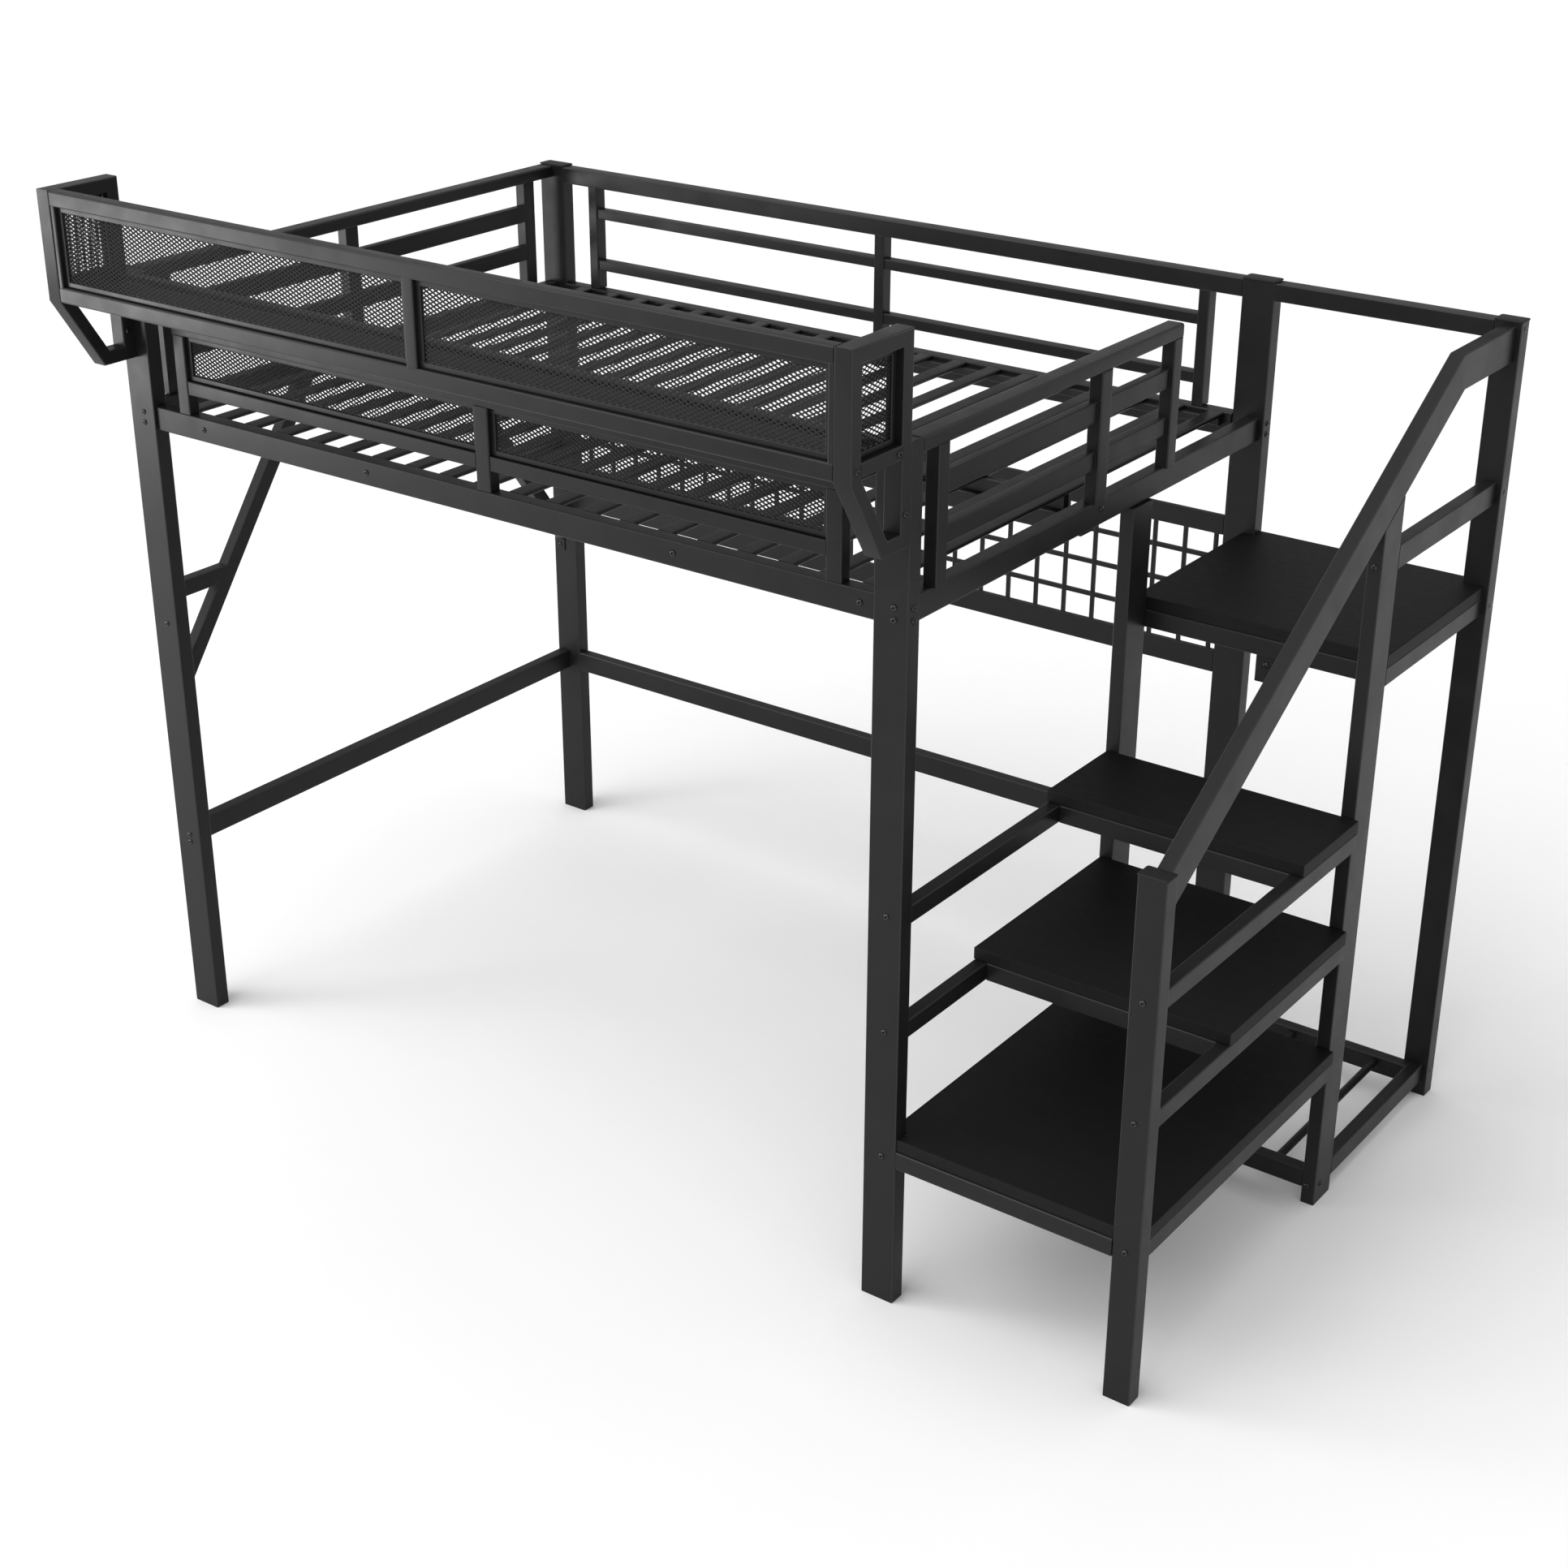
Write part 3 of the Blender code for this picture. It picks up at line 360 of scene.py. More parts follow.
# ---------------------------------------------------------------- the back guard
# A welded frame: a thick top rail, three uprights standing on the side rail, and two thinner
# rails. Short rippled weld beads fill the corners where tubes meet.
TOP, DECK = 1.828, 1.5283
LENGTH = 2.082
HALF = LENGTH / 2
BETWEEN_X = (POST_WIDE + SEAT, LENGTH - POST_WIDE - SEAT)
BETWEEN_Y = (post_face, DEPTH - post_face)
TUCK = 0.003         # how far a tube runs into the one that it is welded to
BEAD_INSET = 0.001   # a bead's middle line lies this far inside a face or an edge


def straight_run(start, end):
    """A run between two points measured from the front left foot: where it starts, the whole
    run, its length, and the unit vectors beside it and above it."""
    start, end = FOOT + np.array(start, float), FOOT + np.array(end, float)
    run = end - start
    length = float(np.linalg.norm(run))
    ahead = run / length
    side = np.cross(ahead, (0.0, 0.0, 1.0) if abs(ahead[2]) < 0.9 else (1.0, 0.0, 0.0))
    side /= np.linalg.norm(side)
    return start, run, length, side, np.cross(side, ahead)


def weld_bead(start, end, radius=0.0016, ripple=0.0032):
    """A row of overlapping weld puddles: a hexagon carried from start to end, its radius swelling
    and shrinking along the run as a sine wave, and drawing in to a fifth at the ends."""
    start, run, length, side, up = straight_run(start, end)
    count = max(5, int(length / ripple * 2) + 1)
    t = np.linspace(0.0, 1.0, count)
    swell = radius * (1 + 0.22 * np.sin(t * length / ripple * 2 * np.pi)) * np.sqrt(
        np.clip(1 - (2 * t - 1) ** 8, 0.04, 1))
    angle = np.arange(6) * np.pi / 3
    ring = np.cos(angle)[:, None] * side + np.sin(angle)[:, None] * up
    rings = (start + t[:, None] * run)[:, None, :] + swell[:, None, None] * ring[None]
    return skin(rings[:, ::-1], np.zeros(6))


def inner_edges(stile, stiles):
    """The edges of one upright that face another upright, where the rails are welded to it."""
    return [edge for edge in stile if stiles[0][0] < edge < stiles[-1][1]]


BACK_DEEP, BACK_TOP_TALL, THIN_SET = 0.035, 0.041, 0.0035
back_y = (DEPTH - POST_DEEP, DEPTH - POST_DEEP + BACK_DEEP)
thin_y = (back_y[0] + THIN_SET, back_y[1] - THIN_SET)
back_stiles = ((0.158, 0.186), (HALF + 0.003, HALF + 0.030), (LENGTH - 0.1794, LENGTH - 0.153))
back_rails = ((1.577, 1.603), (1.709, 1.734))
under_top = TOP - BACK_TOP_TALL
bars = [box_tube(BETWEEN_X, back_y, (under_top, TOP), 0.004)]
beads = []
for x in back_stiles:
    bars.append(box_tube(x, back_y, (DECK, under_top + TUCK)))
    beads += [weld_bead((x[0], y, under_top), (x[1], y, under_top))
              for y in (back_y[0] + BEAD_INSET, back_y[1] - BEAD_INSET)]
    beads += [weld_bead((edge, thin_y[0], z[0]), (edge, thin_y[0], z[1]))
              for z in back_rails for edge in inner_edges(x, back_stiles)]
for z in back_rails:
    bars.append(box_tube((back_stiles[0][0] + TUCK, back_stiles[2][1] - TUCK), thin_y, z))
add_piece("guard_back_frame", bars + beads, powder_coat, ["guard_back"])


# ---------------------------------------------------------------- the guards at the two ends
# A flat top tube, uprights flush with the end, and two wider tubes set back behind them. The
# right guard stops short of the back post, to leave the way on to the bed from the landing.
END_TOP_DEEP, END_TOP_TALL, STILE_DEEP = 0.040, 0.030, 0.030
END_RAIL_SET = (0.008, 0.0297)
end_rails = ((1.600, 1.638), (1.698, 1.740))
first_stiles = ((0.089, 0.124), (DEPTH / 2 - 0.051, DEPTH / 2 - 0.011))
left_stiles = (*first_stiles, (DEPTH - 0.136, DEPTH - 0.098))
right_stiles = (*first_stiles, (DEPTH - 0.476, DEPTH - 0.442))


def inward(end_name, near, far):
    """Limits along X, given inwards from the outer face of the left or the right end."""
    return (near, far) if end_name == "left" else (LENGTH - far, LENGTH - near)


under_top = TOP - END_TOP_TALL
for end_name, stiles, y_end in (("left", left_stiles, BETWEEN_Y[1]),
                                ("right", right_stiles, right_stiles[2][1])):
    bars = [box_tube(inward(end_name, 0.0, END_TOP_DEEP), (BETWEEN_Y[0], y_end),
                     (under_top, TOP), 0.005)]
    beads = []
    outer = inward(end_name, 0.0005, 0.0005)[0]
    rim = inward(end_name, 0.0075, 0.0075)[0]
    for y in stiles:
        bars.append(box_tube(inward(end_name, 0.0, STILE_DEEP), y, (DECK, under_top + TUCK)))
        beads.append(weld_bead((outer, y[0] + BEAD_INSET, under_top),
                               (outer, y[1] - BEAD_INSET, under_top)))
        beads += [weld_bead((rim, edge, z[0] + 0.002), (rim, edge, z[1] - 0.002))
                  for z in end_rails for edge in inner_edges(y, stiles)]
    for z in end_rails:
        bars.append(box_tube(inward(end_name, *END_RAIL_SET),
                             (stiles[0][0] + TUCK, stiles[2][1] - TUCK), z))
    add_piece(f"guard_{end_name}_frame", bars + beads, powder_coat, [f"guard_{end_name}"])


# ---------------------------------------------------------------- the front guard
# Two rails and three uprights welded up as one frame, with a sheet of expanded mesh in each of
# its two bays. The lower rail stands clear of the deck so that bedding can be tucked in.
front_y = (0.0074, 0.0374)
front_stiles = ((0.153, 0.187), (HALF - 0.007, HALF + 0.030), (LENGTH - 0.189, LENGTH - 0.153))
front_rails = ((1.574, 1.605), (1.704, 1.735))
stile_y = (front_y[0] + 0.0004, front_y[1] - 0.0004)
rail_y = (front_y[0] + 0.0012, front_y[1] - 0.0012)
under_top = front_rails[1][0]
bars = [box_tube((front_stiles[0][0], front_stiles[2][1]), front_y, front_rails[1], 0.004)]
beads = []
for x in front_stiles:
    bars.append(box_tube(x, stile_y, (DECK, under_top + TUCK)))
    beads.append(weld_bead((x[0] + BEAD_INSET, front_y[0] + BEAD_INSET, under_top),
                           (x[1] - BEAD_INSET, front_y[0] + BEAD_INSET, under_top)))
    beads += [weld_bead((edge, rail_y[0], front_rails[0][0] + BEAD_INSET),
                        (edge, rail_y[0], front_rails[0][1] - BEAD_INSET))
              for edge in inner_edges(x, front_stiles)]
bars.append(box_tube((front_stiles[0][0] + TUCK, front_stiles[2][1] - TUCK), rail_y,
                     front_rails[0]))
add_piece("guard_front_tubes", bars + beads, powder_coat, ["guard_front_frame"])


# ---------------------------------------------------------------- mesh panels
# Expanded metal: a steel sheet slit and stretched into diamonds 16 mm long and 9 mm high, whose
# strands stand tilted like louvres, spot-welded into a narrow frame and powder-coated with it.
LONG_WAY, SHORT_WAY, STRAND, STRAND_THICK = 0.0164, 0.0088, 0.0030, 0.0013
STRAND_TILT = math.radians(28.0)
PANEL_RIM, RIM_ROLL = 0.0115, 0.0018
COAT_PATCH, COAT_PIT = 0.03, 0.0015   # thicker and thinner coat, and the slit edges' roughness

mesh_coat, tree, shader = new_surface("powder_coated_expanded_steel", "#1e1e1f", 0.46)
shader.inputs["Specular IOR Level"].default_value = 0.19
place = add_node(tree, "ShaderNodeTexCoord").outputs["Object"]
patch = add_node(tree, "ShaderNodeTexNoise", inputs={"Vector": place, "Scale": 1 / COAT_PATCH,
                                                     "Detail": 2.0})
shade = add_node(tree, "ShaderNodeMix", {"data_type": "RGBA"},
                 {"Factor": patch.outputs["Fac"], "A": linear("#1b1b1c"), "B": linear("#242425")})
tree.links.new(shade.outputs["Result"], shader.inputs["Base Color"])
pits = add_node(tree, "ShaderNodeTexNoise", inputs={"Vector": place, "Scale": 1 / COAT_PIT,
                                                    "Detail": 1.0})
rough = add_node(tree, "ShaderNodeBump", inputs={"Height": pits.outputs["Fac"], "Strength": 0.15,
                                                 "Distance": 0.0003})
tree.links.new(rough.outputs["Normal"], shader.inputs["Normal"])


def expanded_mesh(low, high, axes):
    """Zigzag strands one above another. Strand j at station i stands at height j plus the
    remainder of i + j by two, in half cells, so its peaks meet the next strand's troughs. Its
    section is a flat strip, tilted about the long way. axes names long way, short way, depth."""
    u, v, w = axes
    low, high = np.array(low, float), np.array(high, float)
    wide, tall = high[u] - low[u], high[v] - low[v]
    stations = int(round(wide / (LONG_WAY / 2))) + 1
    strands = int(round(tall / (SHORT_WAY / 2)))
    half_u, half_v = wide / (stations - 1), tall / strands
    i = np.arange(stations)[None, :]
    j = np.arange(strands)[:, None]
    slant = math.atan2(half_v, half_u)
    sides = np.array([(1, 1), (-1, 1), (-1, -1), (1, -1)], float)
    broad, thin = sides[:, 0] * STRAND / 2 / math.cos(slant), sides[:, 1] * STRAND_THICK / 2
    dv = broad * math.cos(STRAND_TILT) - thin * math.sin(STRAND_TILT)
    dw = broad * math.sin(STRAND_TILT) + thin * math.cos(STRAND_TILT)
    points = np.zeros((strands, stations, 4, 3))
    points[..., u] = low[u] + (i * half_u)[:, :, None]
    points[..., v] = low[v] + ((j + (i + j) % 2) * half_v)[:, :, None] + dv
    points[..., w] = (low[w] + high[w]) / 2 + dw
    start = (j[:, :, None] * stations + i[:, :-1, None]) * 4
    k = np.arange(4)[None, None, :]
    k_next = (k + 1) % 4
    quads = np.stack([start + k, start + k_next, start + 4 + k_next, start + 4 + k], -1)
    first = (j * stations * 4 + np.array([[3, 2, 1, 0]])).reshape(-1, 4)
    last = ((j + 1) * stations * 4 - 4 + np.array([[0, 1, 2, 3]])).reshape(-1, 4)
    faces = np.concatenate([quads.reshape(-1, 4), first, last])
    if axes in ((0, 2, 1), (1, 0, 2), (2, 1, 0)):   # a left-handed order, so faces turn round
        faces = faces[:, ::-1]
    return points.reshape(-1, 3), faces.tolist(), np.zeros(strands * stations * 4)


def mesh_panel(node, axes, rim=PANEL_RIM):
    """A panel of mesh in the box of its CAD node, inside a narrow welded rim. With no rim, the
    mesh stops a little inside the box."""
    u, v, w = axes
    low, high = (np.array(corner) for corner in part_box(node))
    inset = rim * 0.6 if rim else 0.002
    inner_low, inner_high = low.copy(), high.copy()
    inner_low[[u, v]] += inset
    inner_high[[u, v]] -= inset
    if rim:
        bars = []
        for axis, other in ((u, v), (v, u)):
            for near in (True, False):
                bar_low, bar_high = low.copy(), high.copy()
                if near:
                    bar_high[other] = low[other] + rim
                else:
                    bar_low[other] = high[other] - rim
                if axis == v:   # the upright bars stop just short of the level ones' faces
                    bar_low[[v, w]] += (0.0006, 0.0004)
                    bar_high[[v, w]] -= (0.0006, 0.0004)
                bars.append(straight_tube(bar_low, bar_high, RIM_ROLL, 0.001, 0.0))
        add_piece(node + "_rim", bars, powder_coat)
    add_piece(node + "_diamonds", [expanded_mesh(inner_low, inner_high, axes)], mesh_coat, [node],
              20.0)


mesh_panel("guard_front_mesh_left", (0, 2, 1))
mesh_panel("guard_front_mesh_right", (0, 2, 1))


# ---------------------------------------------------------------- the hung basket
# A mitred tube bracket at each end, screwed to the front of a post, carries a welded front
# frame, a back tube, and mesh at the front, the two ends and the floor.
BASKET_FRONT, BASKET_TOP, TUBE, BRACKET_WIDE = -0.185, 2.032, 0.030, 0.039
MITRE_BEAD, MITRE_BEAD_INSET = 0.0009, 0.0008   # the bead left after a mitre is ground nearly flat
FRONT_BEAD_INSET = 0.0021   # deep enough that the beads stay inside the CAD model's box


def mitres(points):
    """For a closed run of corners, the cut across each corner: the sum of the two inward
    normals, over one plus their dot product, which keeps the tube's true height."""
    points = np.array(points, float)
    ahead = np.roll(points, -1, axis=0) - points
    ahead /= np.linalg.norm(ahead, axis=1)[:, None]
    normal = np.stack([ahead[:, 1], -ahead[:, 0]], 1)
    before = np.roll(normal, 1, axis=0)
    return (normal + before) / (1 + (normal * before).sum(1))[:, None]


bracket = [(BASKET_FRONT, 1.795), (BASKET_FRONT, BASKET_TOP), (-SEAT, BASKET_TOP),
           (-SEAT, 1.636), (-0.087, 1.636)]
bracket_cuts = mitres(bracket)
between_y = (BASKET_FRONT + TUBE, -SEAT - TUBE)
for end_name in ("left", "right"):
    x = inward(end_name, 0.0, BRACKET_WIDE)
    loop = carried(bracket, bracket_cuts, TUBE, x, 0.003, closed=True)
    across = box_tube((x[0] + SEAT, x[1] - SEAT), (between_y[0] - 0.001, between_y[1] + 0.001),
                      (1.802, 1.830), 0.003)
    outer = x[1] - MITRE_BEAD_INSET
    beads = [weld_bead((outer, y, 1.804), (outer, y, 1.828)) for y in between_y]
    beads += [weld_bead((outer, y + cut_y * 0.003, z + cut_z * 0.003),
                        (outer, y + cut_y * 0.028, z + cut_z * 0.028), MITRE_BEAD)
              for (y, z), (cut_y, cut_z) in zip(bracket, bracket_cuts)]
    add_piece(f"basket_bracket_{end_name}_tubes", [loop, across] + beads, powder_coat,
              [f"basket_bracket_{end_name}"])
    mesh_panel(f"basket_mesh_end_{end_name}", (1, 2, 0))

basket_x = (BRACKET_WIDE + SEAT, LENGTH - BRACKET_WIDE - SEAT)
basket_y = (BASKET_FRONT, BASKET_FRONT + TUBE)
low_tube, top_tube = (1.795, 1.829), (BASKET_TOP - 0.033, BASKET_TOP)
bead_y = basket_y[0] + FRONT_BEAD_INSET
bars = [box_tube(basket_x, basket_y, z, 0.004) for z in (low_tube, top_tube)]
beads = []
for x in ((basket_x[0], basket_x[0] + 0.012), (HALF + 0.008, HALF + 0.036),
          (basket_x[1] - 0.012, basket_x[1])):
    bars.append(box_tube(x, (basket_y[0] + 0.0006, basket_y[1] - 0.0006),
                         (low_tube[1] - TUCK, top_tube[0] + TUCK)))
    beads += [weld_bead((x[0] + BEAD_INSET, bead_y, z), (x[1] - BEAD_INSET, bead_y, z))
              for z in (low_tube[1], top_tube[0])]
add_piece("basket_front_tubes", bars + beads, powder_coat, ["basket_front_frame"])
add_piece("basket_back_tube", [straight_tube(*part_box("basket_back_rail"))], powder_coat,
          ["basket_back_rail"])
mesh_panel("basket_mesh_front_left", (0, 2, 1))
mesh_panel("basket_mesh_front_right", (0, 2, 1))
mesh_panel("basket_floor_mesh", (0, 1, 2), 0.0)


# ---------------------------------------------------------------- the stair's posts and handrail
# Tubes of several sizes. The handrail is one tube cut and welded at its bend; the tall middle
# post is cut off at the handrail's slant, under it.
TOTAL = 2.632
add_tubes(["stair_post_front", "stair_post_back", "stair_post_mid_inner", "landing_guard_bar",
           "wing_rail"], POST_CORNER)

RAIL_TALL, RAIL_TOP, RAIL_TOP_AT_START, BEND_Y = 0.076, 1.8205, 1.134, DEPTH - 0.300
MID_POST_DEEP = 0.080
outer_x = (TOTAL - 0.043, TOTAL - 0.012)
rail_start, rail_end = 0.0418, 1.3907
rail_under = RAIL_TOP - RAIL_TALL
rise = (RAIL_TOP - RAIL_TOP_AT_START) / (BEND_Y - POST_DEEP)
slant = math.sqrt(1 + rise * rise)
start_low = RAIL_TOP_AT_START + rise * (rail_start - POST_DEEP) - RAIL_TALL * slant
low_bend = rail_start + (rail_under - start_low) / rise
bend_cut = ((BEND_Y - low_bend) / RAIL_TALL, 1.0)
rail = carried([(rail_start, start_low), (low_bend, rail_under), (rail_end, rail_under)],
               [(0.0, slant), bend_cut, (0.0, 1.0)], RAIL_TALL, outer_x, RAIL_CORNER)
bead_x = outer_x[1] - MITRE_BEAD_INSET
bend_bead = weld_bead((bead_x, low_bend + bend_cut[0] * 0.004, rail_under + 0.004),
                      (bead_x, low_bend + bend_cut[0] * 0.072, RAIL_TOP - 0.004), MITRE_BEAD)
add_piece("handrail_tube", [rail, bend_bead], powder_coat, ["handrail"])

mid_y = DEPTH - 0.599
mid_top = start_low + rise * (mid_y - rail_start) - 0.0004
mid_post = carried([(mid_y, 0.0), (mid_y, mid_top)], [(1.0, 0.0), (1.0, rise)], MID_POST_DEEP,
                   outer_x, POST_CORNER)
add_piece("stair_post_mid_outer_tube", [mid_post], powder_coat, ["stair_post_mid_outer"])


# ---------------------------------------------------------------- steps and landing
# Each step is a 28 mm board faced in matt black, its edges banded, screwed down on light steel
# tube. The boards' faces have a fine pressed grain that runs across the stair.
LIGHT_CORNER = 0.0035
add_tubes([f"step_rail_{row}_{number}" for row in ("inner", "outer", "front")
           for number in (1, 2, 3)], LIGHT_CORNER)
add_tubes(["landing_rail_front", "landing_rail_outer", "landing_rail_back"], LIGHT_CORNER)

GRAIN_WIDE, GRAIN_BAND = 0.0016, 0.02   # one fibre, and the paler and darker bands of them
board_face, tree, shader = new_surface("matt_black_melamine_board", "#0c0c0d", 0.6)
shader.inputs["Specular IOR Level"].default_value = 0.16
place = add_node(tree, "ShaderNodeTexCoord").outputs["Object"]
drawn_out = add_node(tree, "ShaderNodeMapping", inputs={"Vector": place, "Scale": (0.06, 1.0, 1.0)})
fibre = add_node(tree, "ShaderNodeTexNoise", inputs={"Vector": drawn_out.outputs["Vector"],
                                                     "Scale": 1 / GRAIN_WIDE, "Detail": 3.0,
                                                     "Roughness": 0.65})
bands = add_node(tree, "ShaderNodeTexNoise", inputs={"Vector": drawn_out.outputs["Vector"],
                                                     "Scale": 1 / GRAIN_BAND, "Detail": 4.0})
board_tone = add_node(tree, "ShaderNodeMix", {"data_type": "RGBA"},
                      {"Factor": bands.outputs["Fac"], "A": linear("#090909"),
                       "B": linear("#121213")})
tree.links.new(board_tone.outputs["Result"], shader.inputs["Base Color"])
sheen = add_node(tree, "ShaderNodeMapRange",
                 inputs={"Value": fibre.outputs["Fac"], "From Min": 0.3, "From Max": 0.7,
                         "To Min": 0.5, "To Max": 0.68})
tree.links.new(sheen.outputs["Result"], shader.inputs["Roughness"])
pores = add_node(tree, "ShaderNodeBump", inputs={"Height": fibre.outputs["Fac"], "Strength": 0.25,
                                                 "Distance": 0.0003})
tree.links.new(pores.outputs["Normal"], shader.inputs["Normal"])


def board(outline, low_z, high_z, soft=0.0022):
    """A flat board with rounded arrises: the outline, drawn in at the top and bottom by a
    quarter circle. Each corner draws in along its mitre, so its two sides draw in alike."""
    outline = np.array(outline, float)
    cut = mitres(outline[::-1])[::-1]
    steps = np.linspace(0.0, np.pi / 2, 4)
    rise, draw = soft * (1 - np.cos(steps)), soft * (1 - np.sin(steps))
    heights = np.concatenate([low_z + rise, high_z - rise[::-1]])
    inset = np.concatenate([draw, draw[::-1]])
    rings = np.zeros((len(heights), len(outline), 3))
    rings[:, :, 0] = FOOT[0] + outline[None, :, 0] + inset[:, None] * cut[None, :, 0]
    rings[:, :, 1] = FOOT[1] + outline[None, :, 1] + inset[:, None] * cut[None, :, 1]
    rings[:, :, 2] = FOOT[2] + heights[:, None]
    return skin(rings, np.zeros(len(outline)))


BOARD_THICK, LANDING_TOP = 0.028, 1.2605
STEP_TOPS = (0.394, 0.680, 0.932)
step_x = (LENGTH - 0.030, TOTAL - 0.002)
post_in, post_out = LENGTH + SEAT, TOTAL - 0.059 - SEAT
board_back = mid_y - 0.003
fronts = (0.003, mid_y * 0.3827, mid_y * 0.7016)
outlines = [[(step_x[0], y), (step_x[1], y), (step_x[1], board_back), (step_x[0], board_back)]
            for y in fronts]
# The lowest board is cut out round the bed's post and the stair's front post.
outlines[0] = [(post_in, fronts[0]), (post_out, fronts[0]), (post_out, rail_start),
               (step_x[1], rail_start), (step_x[1], board_back), (step_x[0], board_back),
               (step_x[0], post_face), (post_in, post_face)]
for number, (outline, top) in enumerate(zip(outlines, STEP_TOPS), 1):
    add_piece(f"step_board_{number}_faced", [board(outline, top - BOARD_THICK, top)], board_face,
              [f"step_board_{number}"])
landing_y = mid_y + MID_POST_DEEP + SEAT
landing_back = DEPTH - 0.002
landing = [(step_x[0], landing_y), (outer_x[1], landing_y), (outer_x[1], rail_end),
           (post_out, rail_end), (post_out, landing_back), (post_in, landing_back),
           (post_in, BETWEEN_Y[1]), (step_x[0], BETWEEN_Y[1])]
add_piece("landing_board_faced", [board(landing, LANDING_TOP - BOARD_THICK, LANDING_TOP)],
          board_face, ["landing_board"])


# ---------------------------------------------------------------- rod, rack and grid
# A round rod hangs on two plates under the landing. The low rack is a welded frame with three
# round rods. The grid is two flat rails with square bars welded down and across between them.
def round_rod(start, end, radius, sides=16):
    """A circle carried from start to end, with its ends drawn in a little."""
    start, run, length, side, up = straight_run(start, end)
    ahead = run / length
    angle = np.arange(sides) * 2 * np.pi / sides
    ring = np.cos(angle)[:, None] * side + np.sin(angle)[:, None] * up
    soft = radius * 0.25
    along = np.array([0.0, soft, length - soft, length])
    size = np.array([radius - soft, radius, radius, radius - soft])
    rings = (start + along[:, None] * ahead)[:, None, :] + size[:, None, None] * ring[None]
    return skin(rings[:, ::-1], np.zeros(sides))


ROD_RADIUS, HANGER_HALF = 0.011, 0.024
rod_x, rod_z = LENGTH + 0.275, 1.147
hanger_x, hanger_z = (rod_x - HANGER_HALF, rod_x + HANGER_HALF), (1.132, 1.1919)
hangers = [box_tube(hanger_x, y, hanger_z, 0.002, 0.001)
           for y in ((landing_y + 0.008, landing_y + 0.022), (DEPTH - 0.030, DEPTH - 0.016))]
rod = round_rod((rod_x, landing_y + 0.018, rod_z), (rod_x, DEPTH - 0.026, rod_z), ROD_RADIUS, 24)
add_piece("clothes_rod_round", hangers + [rod], powder_coat, ["clothes_rod"])

RACK_RODS, RACK_ROD_RADIUS, RACK_PITCH = 3, 0.0095, 0.550 * 0.378
rack_low, rack_high = (np.array(corner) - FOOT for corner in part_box("rack_frame"))
rack_z = (rack_low[2], rack_high[2])
bars = [box_tube((LENGTH - 0.0037, outer_x[0] - SEAT), (mid_y, mid_y + 0.030), rack_z),
        box_tube(outer_x, (landing_y, rack_high[1]), rack_z),
        box_tube((LENGTH + SEAT, outer_x[0] + TUCK), (rack_high[1] - 0.0306, rack_high[1] - 0.0006),
                 (rack_z[0] + 0.0006, rack_z[1] - 0.0006))]
z = rack_z[0] + (rack_z[1] - rack_z[0]) * 0.6
for number in range(RACK_RODS):
    x = LENGTH + 0.015 + RACK_PITCH * number
    bars.append(round_rod((x, mid_y + 0.015, z), (x, rack_high[1] - 0.015, z), RACK_ROD_RADIUS))
add_piece("rack_frame_tubes", bars, powder_coat, ["rack_frame"])

GRID_BAR, BAR_ACROSS, BAR_ROLL, BARS_DOWN = 0.010, 0.012, 0.0022, 25
LOW_FLAT, TOP_FLAT = (0.911, 0.966), (1.244, 1.290)
grid_low, grid_high = (np.array(corner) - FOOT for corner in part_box("grid_panel"))
grid_x, flat_y = (grid_low[0], grid_high[0]), (grid_low[1], grid_high[1])
down_y = (flat_y[0] + 0.0006, flat_y[1] - 0.0006)
across_y = (flat_y[0] + 0.0018, flat_y[1] - 0.0018)
bead_y = flat_y[0] + 0.0016
bars = [box_tube(grid_x, flat_y, z, 0.002) for z in (LOW_FLAT, TOP_FLAT)]
beads = []
for x in np.linspace(0.138, LENGTH - 0.0937, BARS_DOWN):
    bar_x = (x - GRID_BAR / 2, x + GRID_BAR / 2)
    bars.append(box_tube(bar_x, down_y, (0.960, 1.250), BAR_ROLL))
    beads += [weld_bead((bar_x[0] + BEAD_INSET, bead_y, z), (bar_x[1] - BEAD_INSET, bead_y, z),
                        0.0013) for z in (LOW_FLAT[1], TOP_FLAT[0])]
for z in (1.027, 1.107, 1.187):
    bars.append(box_tube(grid_x, across_y, (z - BAR_ACROSS / 2, z + BAR_ACROSS / 2), BAR_ROLL))
add_piece("grid_panel_wires", bars + beads, powder_coat, ["grid_panel"])


# ---------------------------------------------------------------- bolts
# Button-head socket screws in blackened steel hold the tubes together. Their low domes are
# 13 mm across and catch the light on the rim.
TURNING_MARK = 0.0012   # the marks that turning leaves, drawn coarser than they are
bolt_steel, tree, shader = new_surface("blackened_screw_steel", "#3a3a3c", 0.3, 1.0)
place = add_node(tree, "ShaderNodeTexCoord").outputs["Object"]
turning = add_node(tree, "ShaderNodeTexNoise", inputs={"Vector": place, "Scale": 1 / TURNING_MARK,
                                                       "Detail": 2.0})
bolt_tone = add_node(tree, "ShaderNodeMix", {"data_type": "RGBA"},
                     {"Factor": turning.outputs["Fac"], "A": linear("#303032"),
                      "B": linear("#4c4c50")})
tree.links.new(bolt_tone.outputs["Result"], shader.inputs["Base Color"])


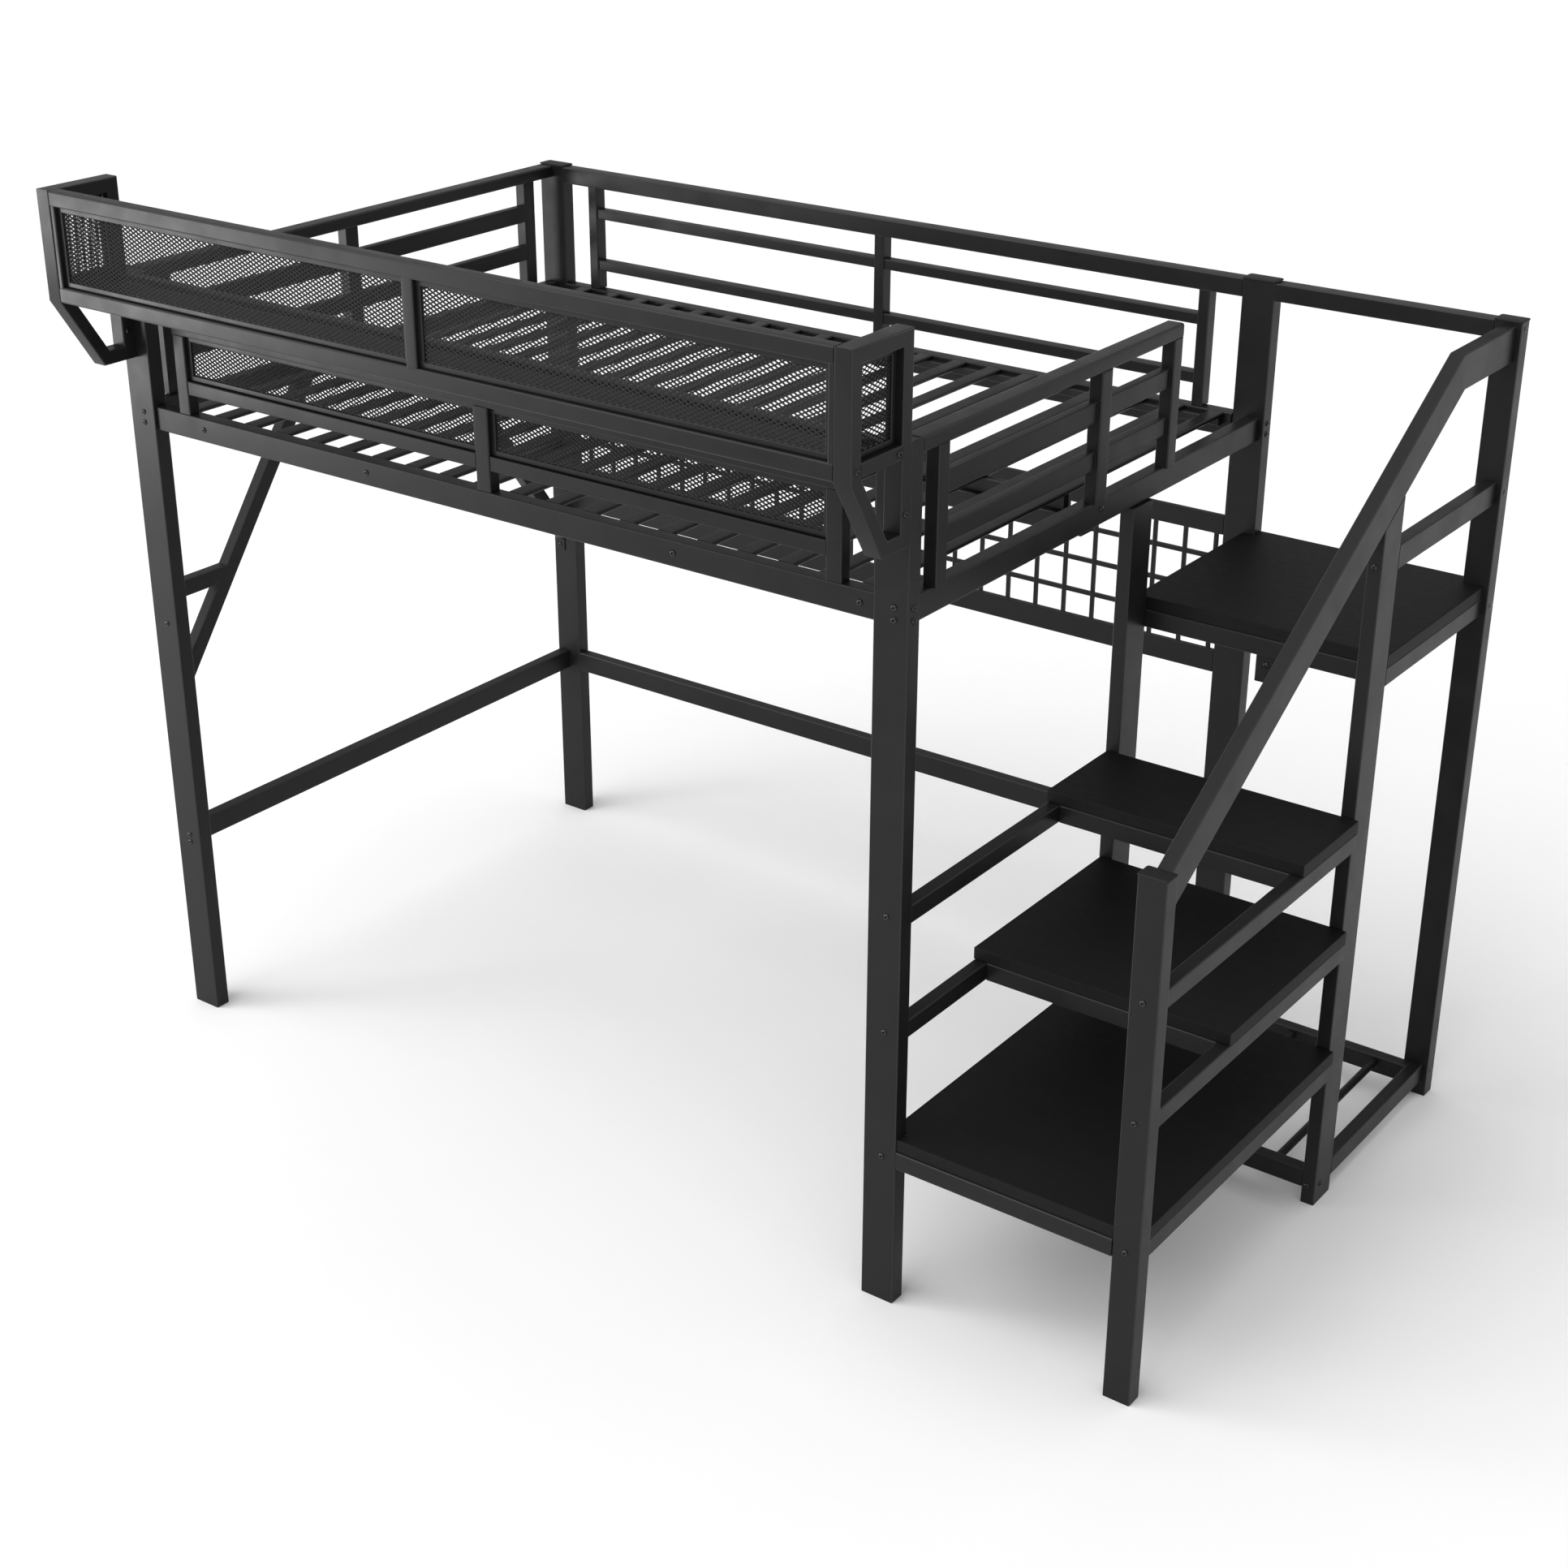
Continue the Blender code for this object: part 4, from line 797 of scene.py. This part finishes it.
def button_head(spot, facing, radius=0.0066, tall=0.0034):
    """A low dome with a six-sided socket: rings of one angle and one radius each, from the
    socket's floor out over the dome to the rim. The socket's rings are drawn out to a hexagon.
    A head on one of the outermost faces is flat, so that it stays inside the CAD model's box."""
    sides = 24
    angle = np.arange(sides) * 2 * np.pi / sides
    reach = np.array([0.30, 0.34, 0.42, 0.66, 0.86, 0.97, 1.0, 1.0]) * radius
    facing, spot = np.array(facing, float), FOOT + np.array(spot, float)
    room = np.where(facing > 0, np.array(cad_high) - spot, spot - np.array(cad_low))
    tall = min(tall, float(room[facing != 0].min()) - 0.0001)
    rise = np.array([0.2, 0.9, 1.0, 0.9, 0.62, 0.34, 0.1, -0.1]) * tall
    six = 1 / np.cos((angle % (np.pi / 3)) - np.pi / 6) * 0.95
    in_socket = np.arange(len(reach))[:, None] < 2
    out = np.where(in_socket, reach[:, None] * six[None, :], reach[:, None])
    side = np.cross(facing, (0.0, 0.0, 1.0))
    up = np.cross(side, facing)
    flat = np.cos(angle)[:, None] * side + np.sin(angle)[:, None] * up
    rings = spot + out[:, :, None] * flat[None] + rise[:, None, None] * facing
    return skin(rings, np.zeros(sides))


FRONT, BACK, RIGHT, LEFT = (0, -1, 0), (0, 1, 0), (1, 0, 0), (-1, 0, 0)
DECK_BOLT_Z, PAIR_Z, STEP_BOLT_Z = 1.503, (1.513, 1.489), (0.884, 0.630, 0.345)
bolts = [((x, 0.0074, DECK_BOLT_Z), FRONT) for x in (0.228, 0.722, 1.537, 1.971)]
bolts += [((x, DEPTH - 0.0074, DECK_BOLT_Z), BACK) for x in (0.228, 0.722, 1.360, 1.854)]
for z in PAIR_Z:
    bolts += [((0.042, 0.0, z), FRONT), ((2.051, 0.0, z), FRONT), ((LENGTH, 0.018, z), RIGHT),
              ((LENGTH, 1.412, z), RIGHT), ((0.0, 0.018, z), LEFT), ((0.0, 1.412, z), LEFT),
              ((0.042, DEPTH, z), BACK), ((2.040, DEPTH, z), BACK)]
bolts += [((0.043, 0.0, 1.009), FRONT), ((0.042, 0.0, 0.466), FRONT), ((0.042, 0.0, 0.448), FRONT)]
bolts += [((2.049, 0.0, z), FRONT) for z in STEP_BOLT_Z]
bolts += [((2.6005, 0.0025, z), FRONT) for z in STEP_BOLT_Z]
bolts += [((TOTAL, 1.4105, 1.812), RIGHT), ((2.6010, mid_y, 0.044), FRONT),
          ((outer_x[1], 0.860, 0.042), RIGHT), ((2.6045, mid_y, 1.466), FRONT),
          ((LENGTH - 0.012, 0.708, 1.508), RIGHT)]
bolts += [((TOTAL, 1.4105, z), RIGHT) for z in (1.466, 1.212, 0.060)]
bolts += [((LENGTH, y, z), RIGHT) for y, z in ((-0.168, 1.816), (-0.040, 1.816), (-0.017, 1.700))]
for x, facing in ((BRACKET_WIDE, RIGHT), (0.0, LEFT)):
    bolts += [((x, y, z), facing) for y, z in ((-0.040, 1.816), (-0.017, 1.700))]
bolts += [((0.023, DEPTH - brace_y, 0.797), FRONT), ((0.023, brace_y, 0.797), BACK)]
bolts += [((rod_x, landing_y + 0.008, 1.172), FRONT)]
add_piece("button_head_screws", [button_head(spot, facing) for spot, facing in bolts], bolt_steel)


# ---------------------------------------------------------------- studio
# A plain pale floor that runs to the horizon, a broad soft light from the front left and one
# from overhead, a small soft panel near the left end, and pale air all round.
floor_surface, tree, shader = new_surface("pale_studio_floor", "#f4f4f4", 0.9)
shader.inputs["Specular IOR Level"].default_value = 0.1
reach = 400.0
floor_mesh = bpy.data.meshes.new("studio_floor")
floor_z = FOOT[2]
floor_mesh.from_pydata([(-reach, -reach, floor_z), (reach, -reach, floor_z),
                        (reach, reach, floor_z), (-reach, reach, floor_z)], [], [(0, 1, 2, 3)])
floor_mesh.materials.append(floor_surface)
floor = bpy.data.objects.new("studio_floor", floor_mesh)
bpy.context.scene.collection.objects.link(floor)


def aim(item, spot, target, roll=0.0):
    """Turn a camera or lamp at spot to look at target, then roll it about its own view."""
    ahead = np.array(target, float) - np.array(spot, float)
    ahead /= np.linalg.norm(ahead)
    right = np.cross(ahead, (0.0, 0.0, 1.0))
    right /= np.linalg.norm(right)
    down = np.cross(ahead, right)
    turned_right = math.cos(roll) * right + math.sin(roll) * down
    turned_down = -math.sin(roll) * right + math.cos(roll) * down
    turn = np.stack([turned_right, -turned_down, -ahead], 1)
    item.matrix_world = Matrix.Translation(tuple(map(float, spot))) @ Matrix(turn.tolist()).to_4x4()


def sun(name, spot, strength, spread):
    """A far lamp shining from spot towards the middle of the bed, spread over some degrees."""
    lamp = bpy.data.lights.new(name, "SUN")
    lamp.energy = strength
    lamp.angle = math.radians(spread)
    item = bpy.data.objects.new(name, lamp)
    bpy.context.scene.collection.objects.link(item)
    aim(item, spot, (0.0, 0.0, 1.0))


sun("key_light", (-4.5, -7.5, 8.5), 1.6, 70.0)
sun("top_light", (-0.5, -1.0, 10.0), 1.85, 100.0)
panel = bpy.data.lights.new("soft_panel", "AREA")
panel.shape, panel.size, panel.size_y = "RECTANGLE", 1.3, 1.1
panel.energy = 68.0
panel_object = bpy.data.objects.new("soft_panel", panel)
bpy.context.scene.collection.objects.link(panel_object)
aim(panel_object, (-3.9, -2.9, 1.1), (-1.2, 0.0, 1.5))
world = bpy.data.worlds.new("studio_air")
bpy.context.scene.world = world
world.use_nodes = True
# The air is pale at the horizon, so that the floor has no edge, and dims overhead.
tree = world.node_tree
heading = add_node(tree, "ShaderNodeTexCoord").outputs["Generated"]
height = add_node(tree, "ShaderNodeSeparateXYZ", inputs={"Vector": heading}).outputs["Z"]
dimmed = add_node(tree, "ShaderNodeMapRange",
                  inputs={"Value": height, "From Min": 0.06, "From Max": 0.4, "To Min": 0.88,
                          "To Max": 0.18})
air = tree.nodes["Background"]
air.inputs["Color"].default_value = linear("#ffffff")
tree.links.new(dimmed.outputs["Result"], air.inputs["Strength"])

camera = bpy.data.cameras.new("camera")
camera.sensor_width = 36.0
camera.lens = 58.33
camera.clip_end = 900.0
camera_object = bpy.data.objects.new("camera", camera)
bpy.context.scene.collection.objects.link(camera_object)
aim(camera_object, (3.1001, -4.1716, 3.1660), (-0.7488, 1.0625, 0.1115), -0.0022)
bpy.context.scene.camera = camera_object
bpy.context.scene.view_settings.view_transform = "Standard"
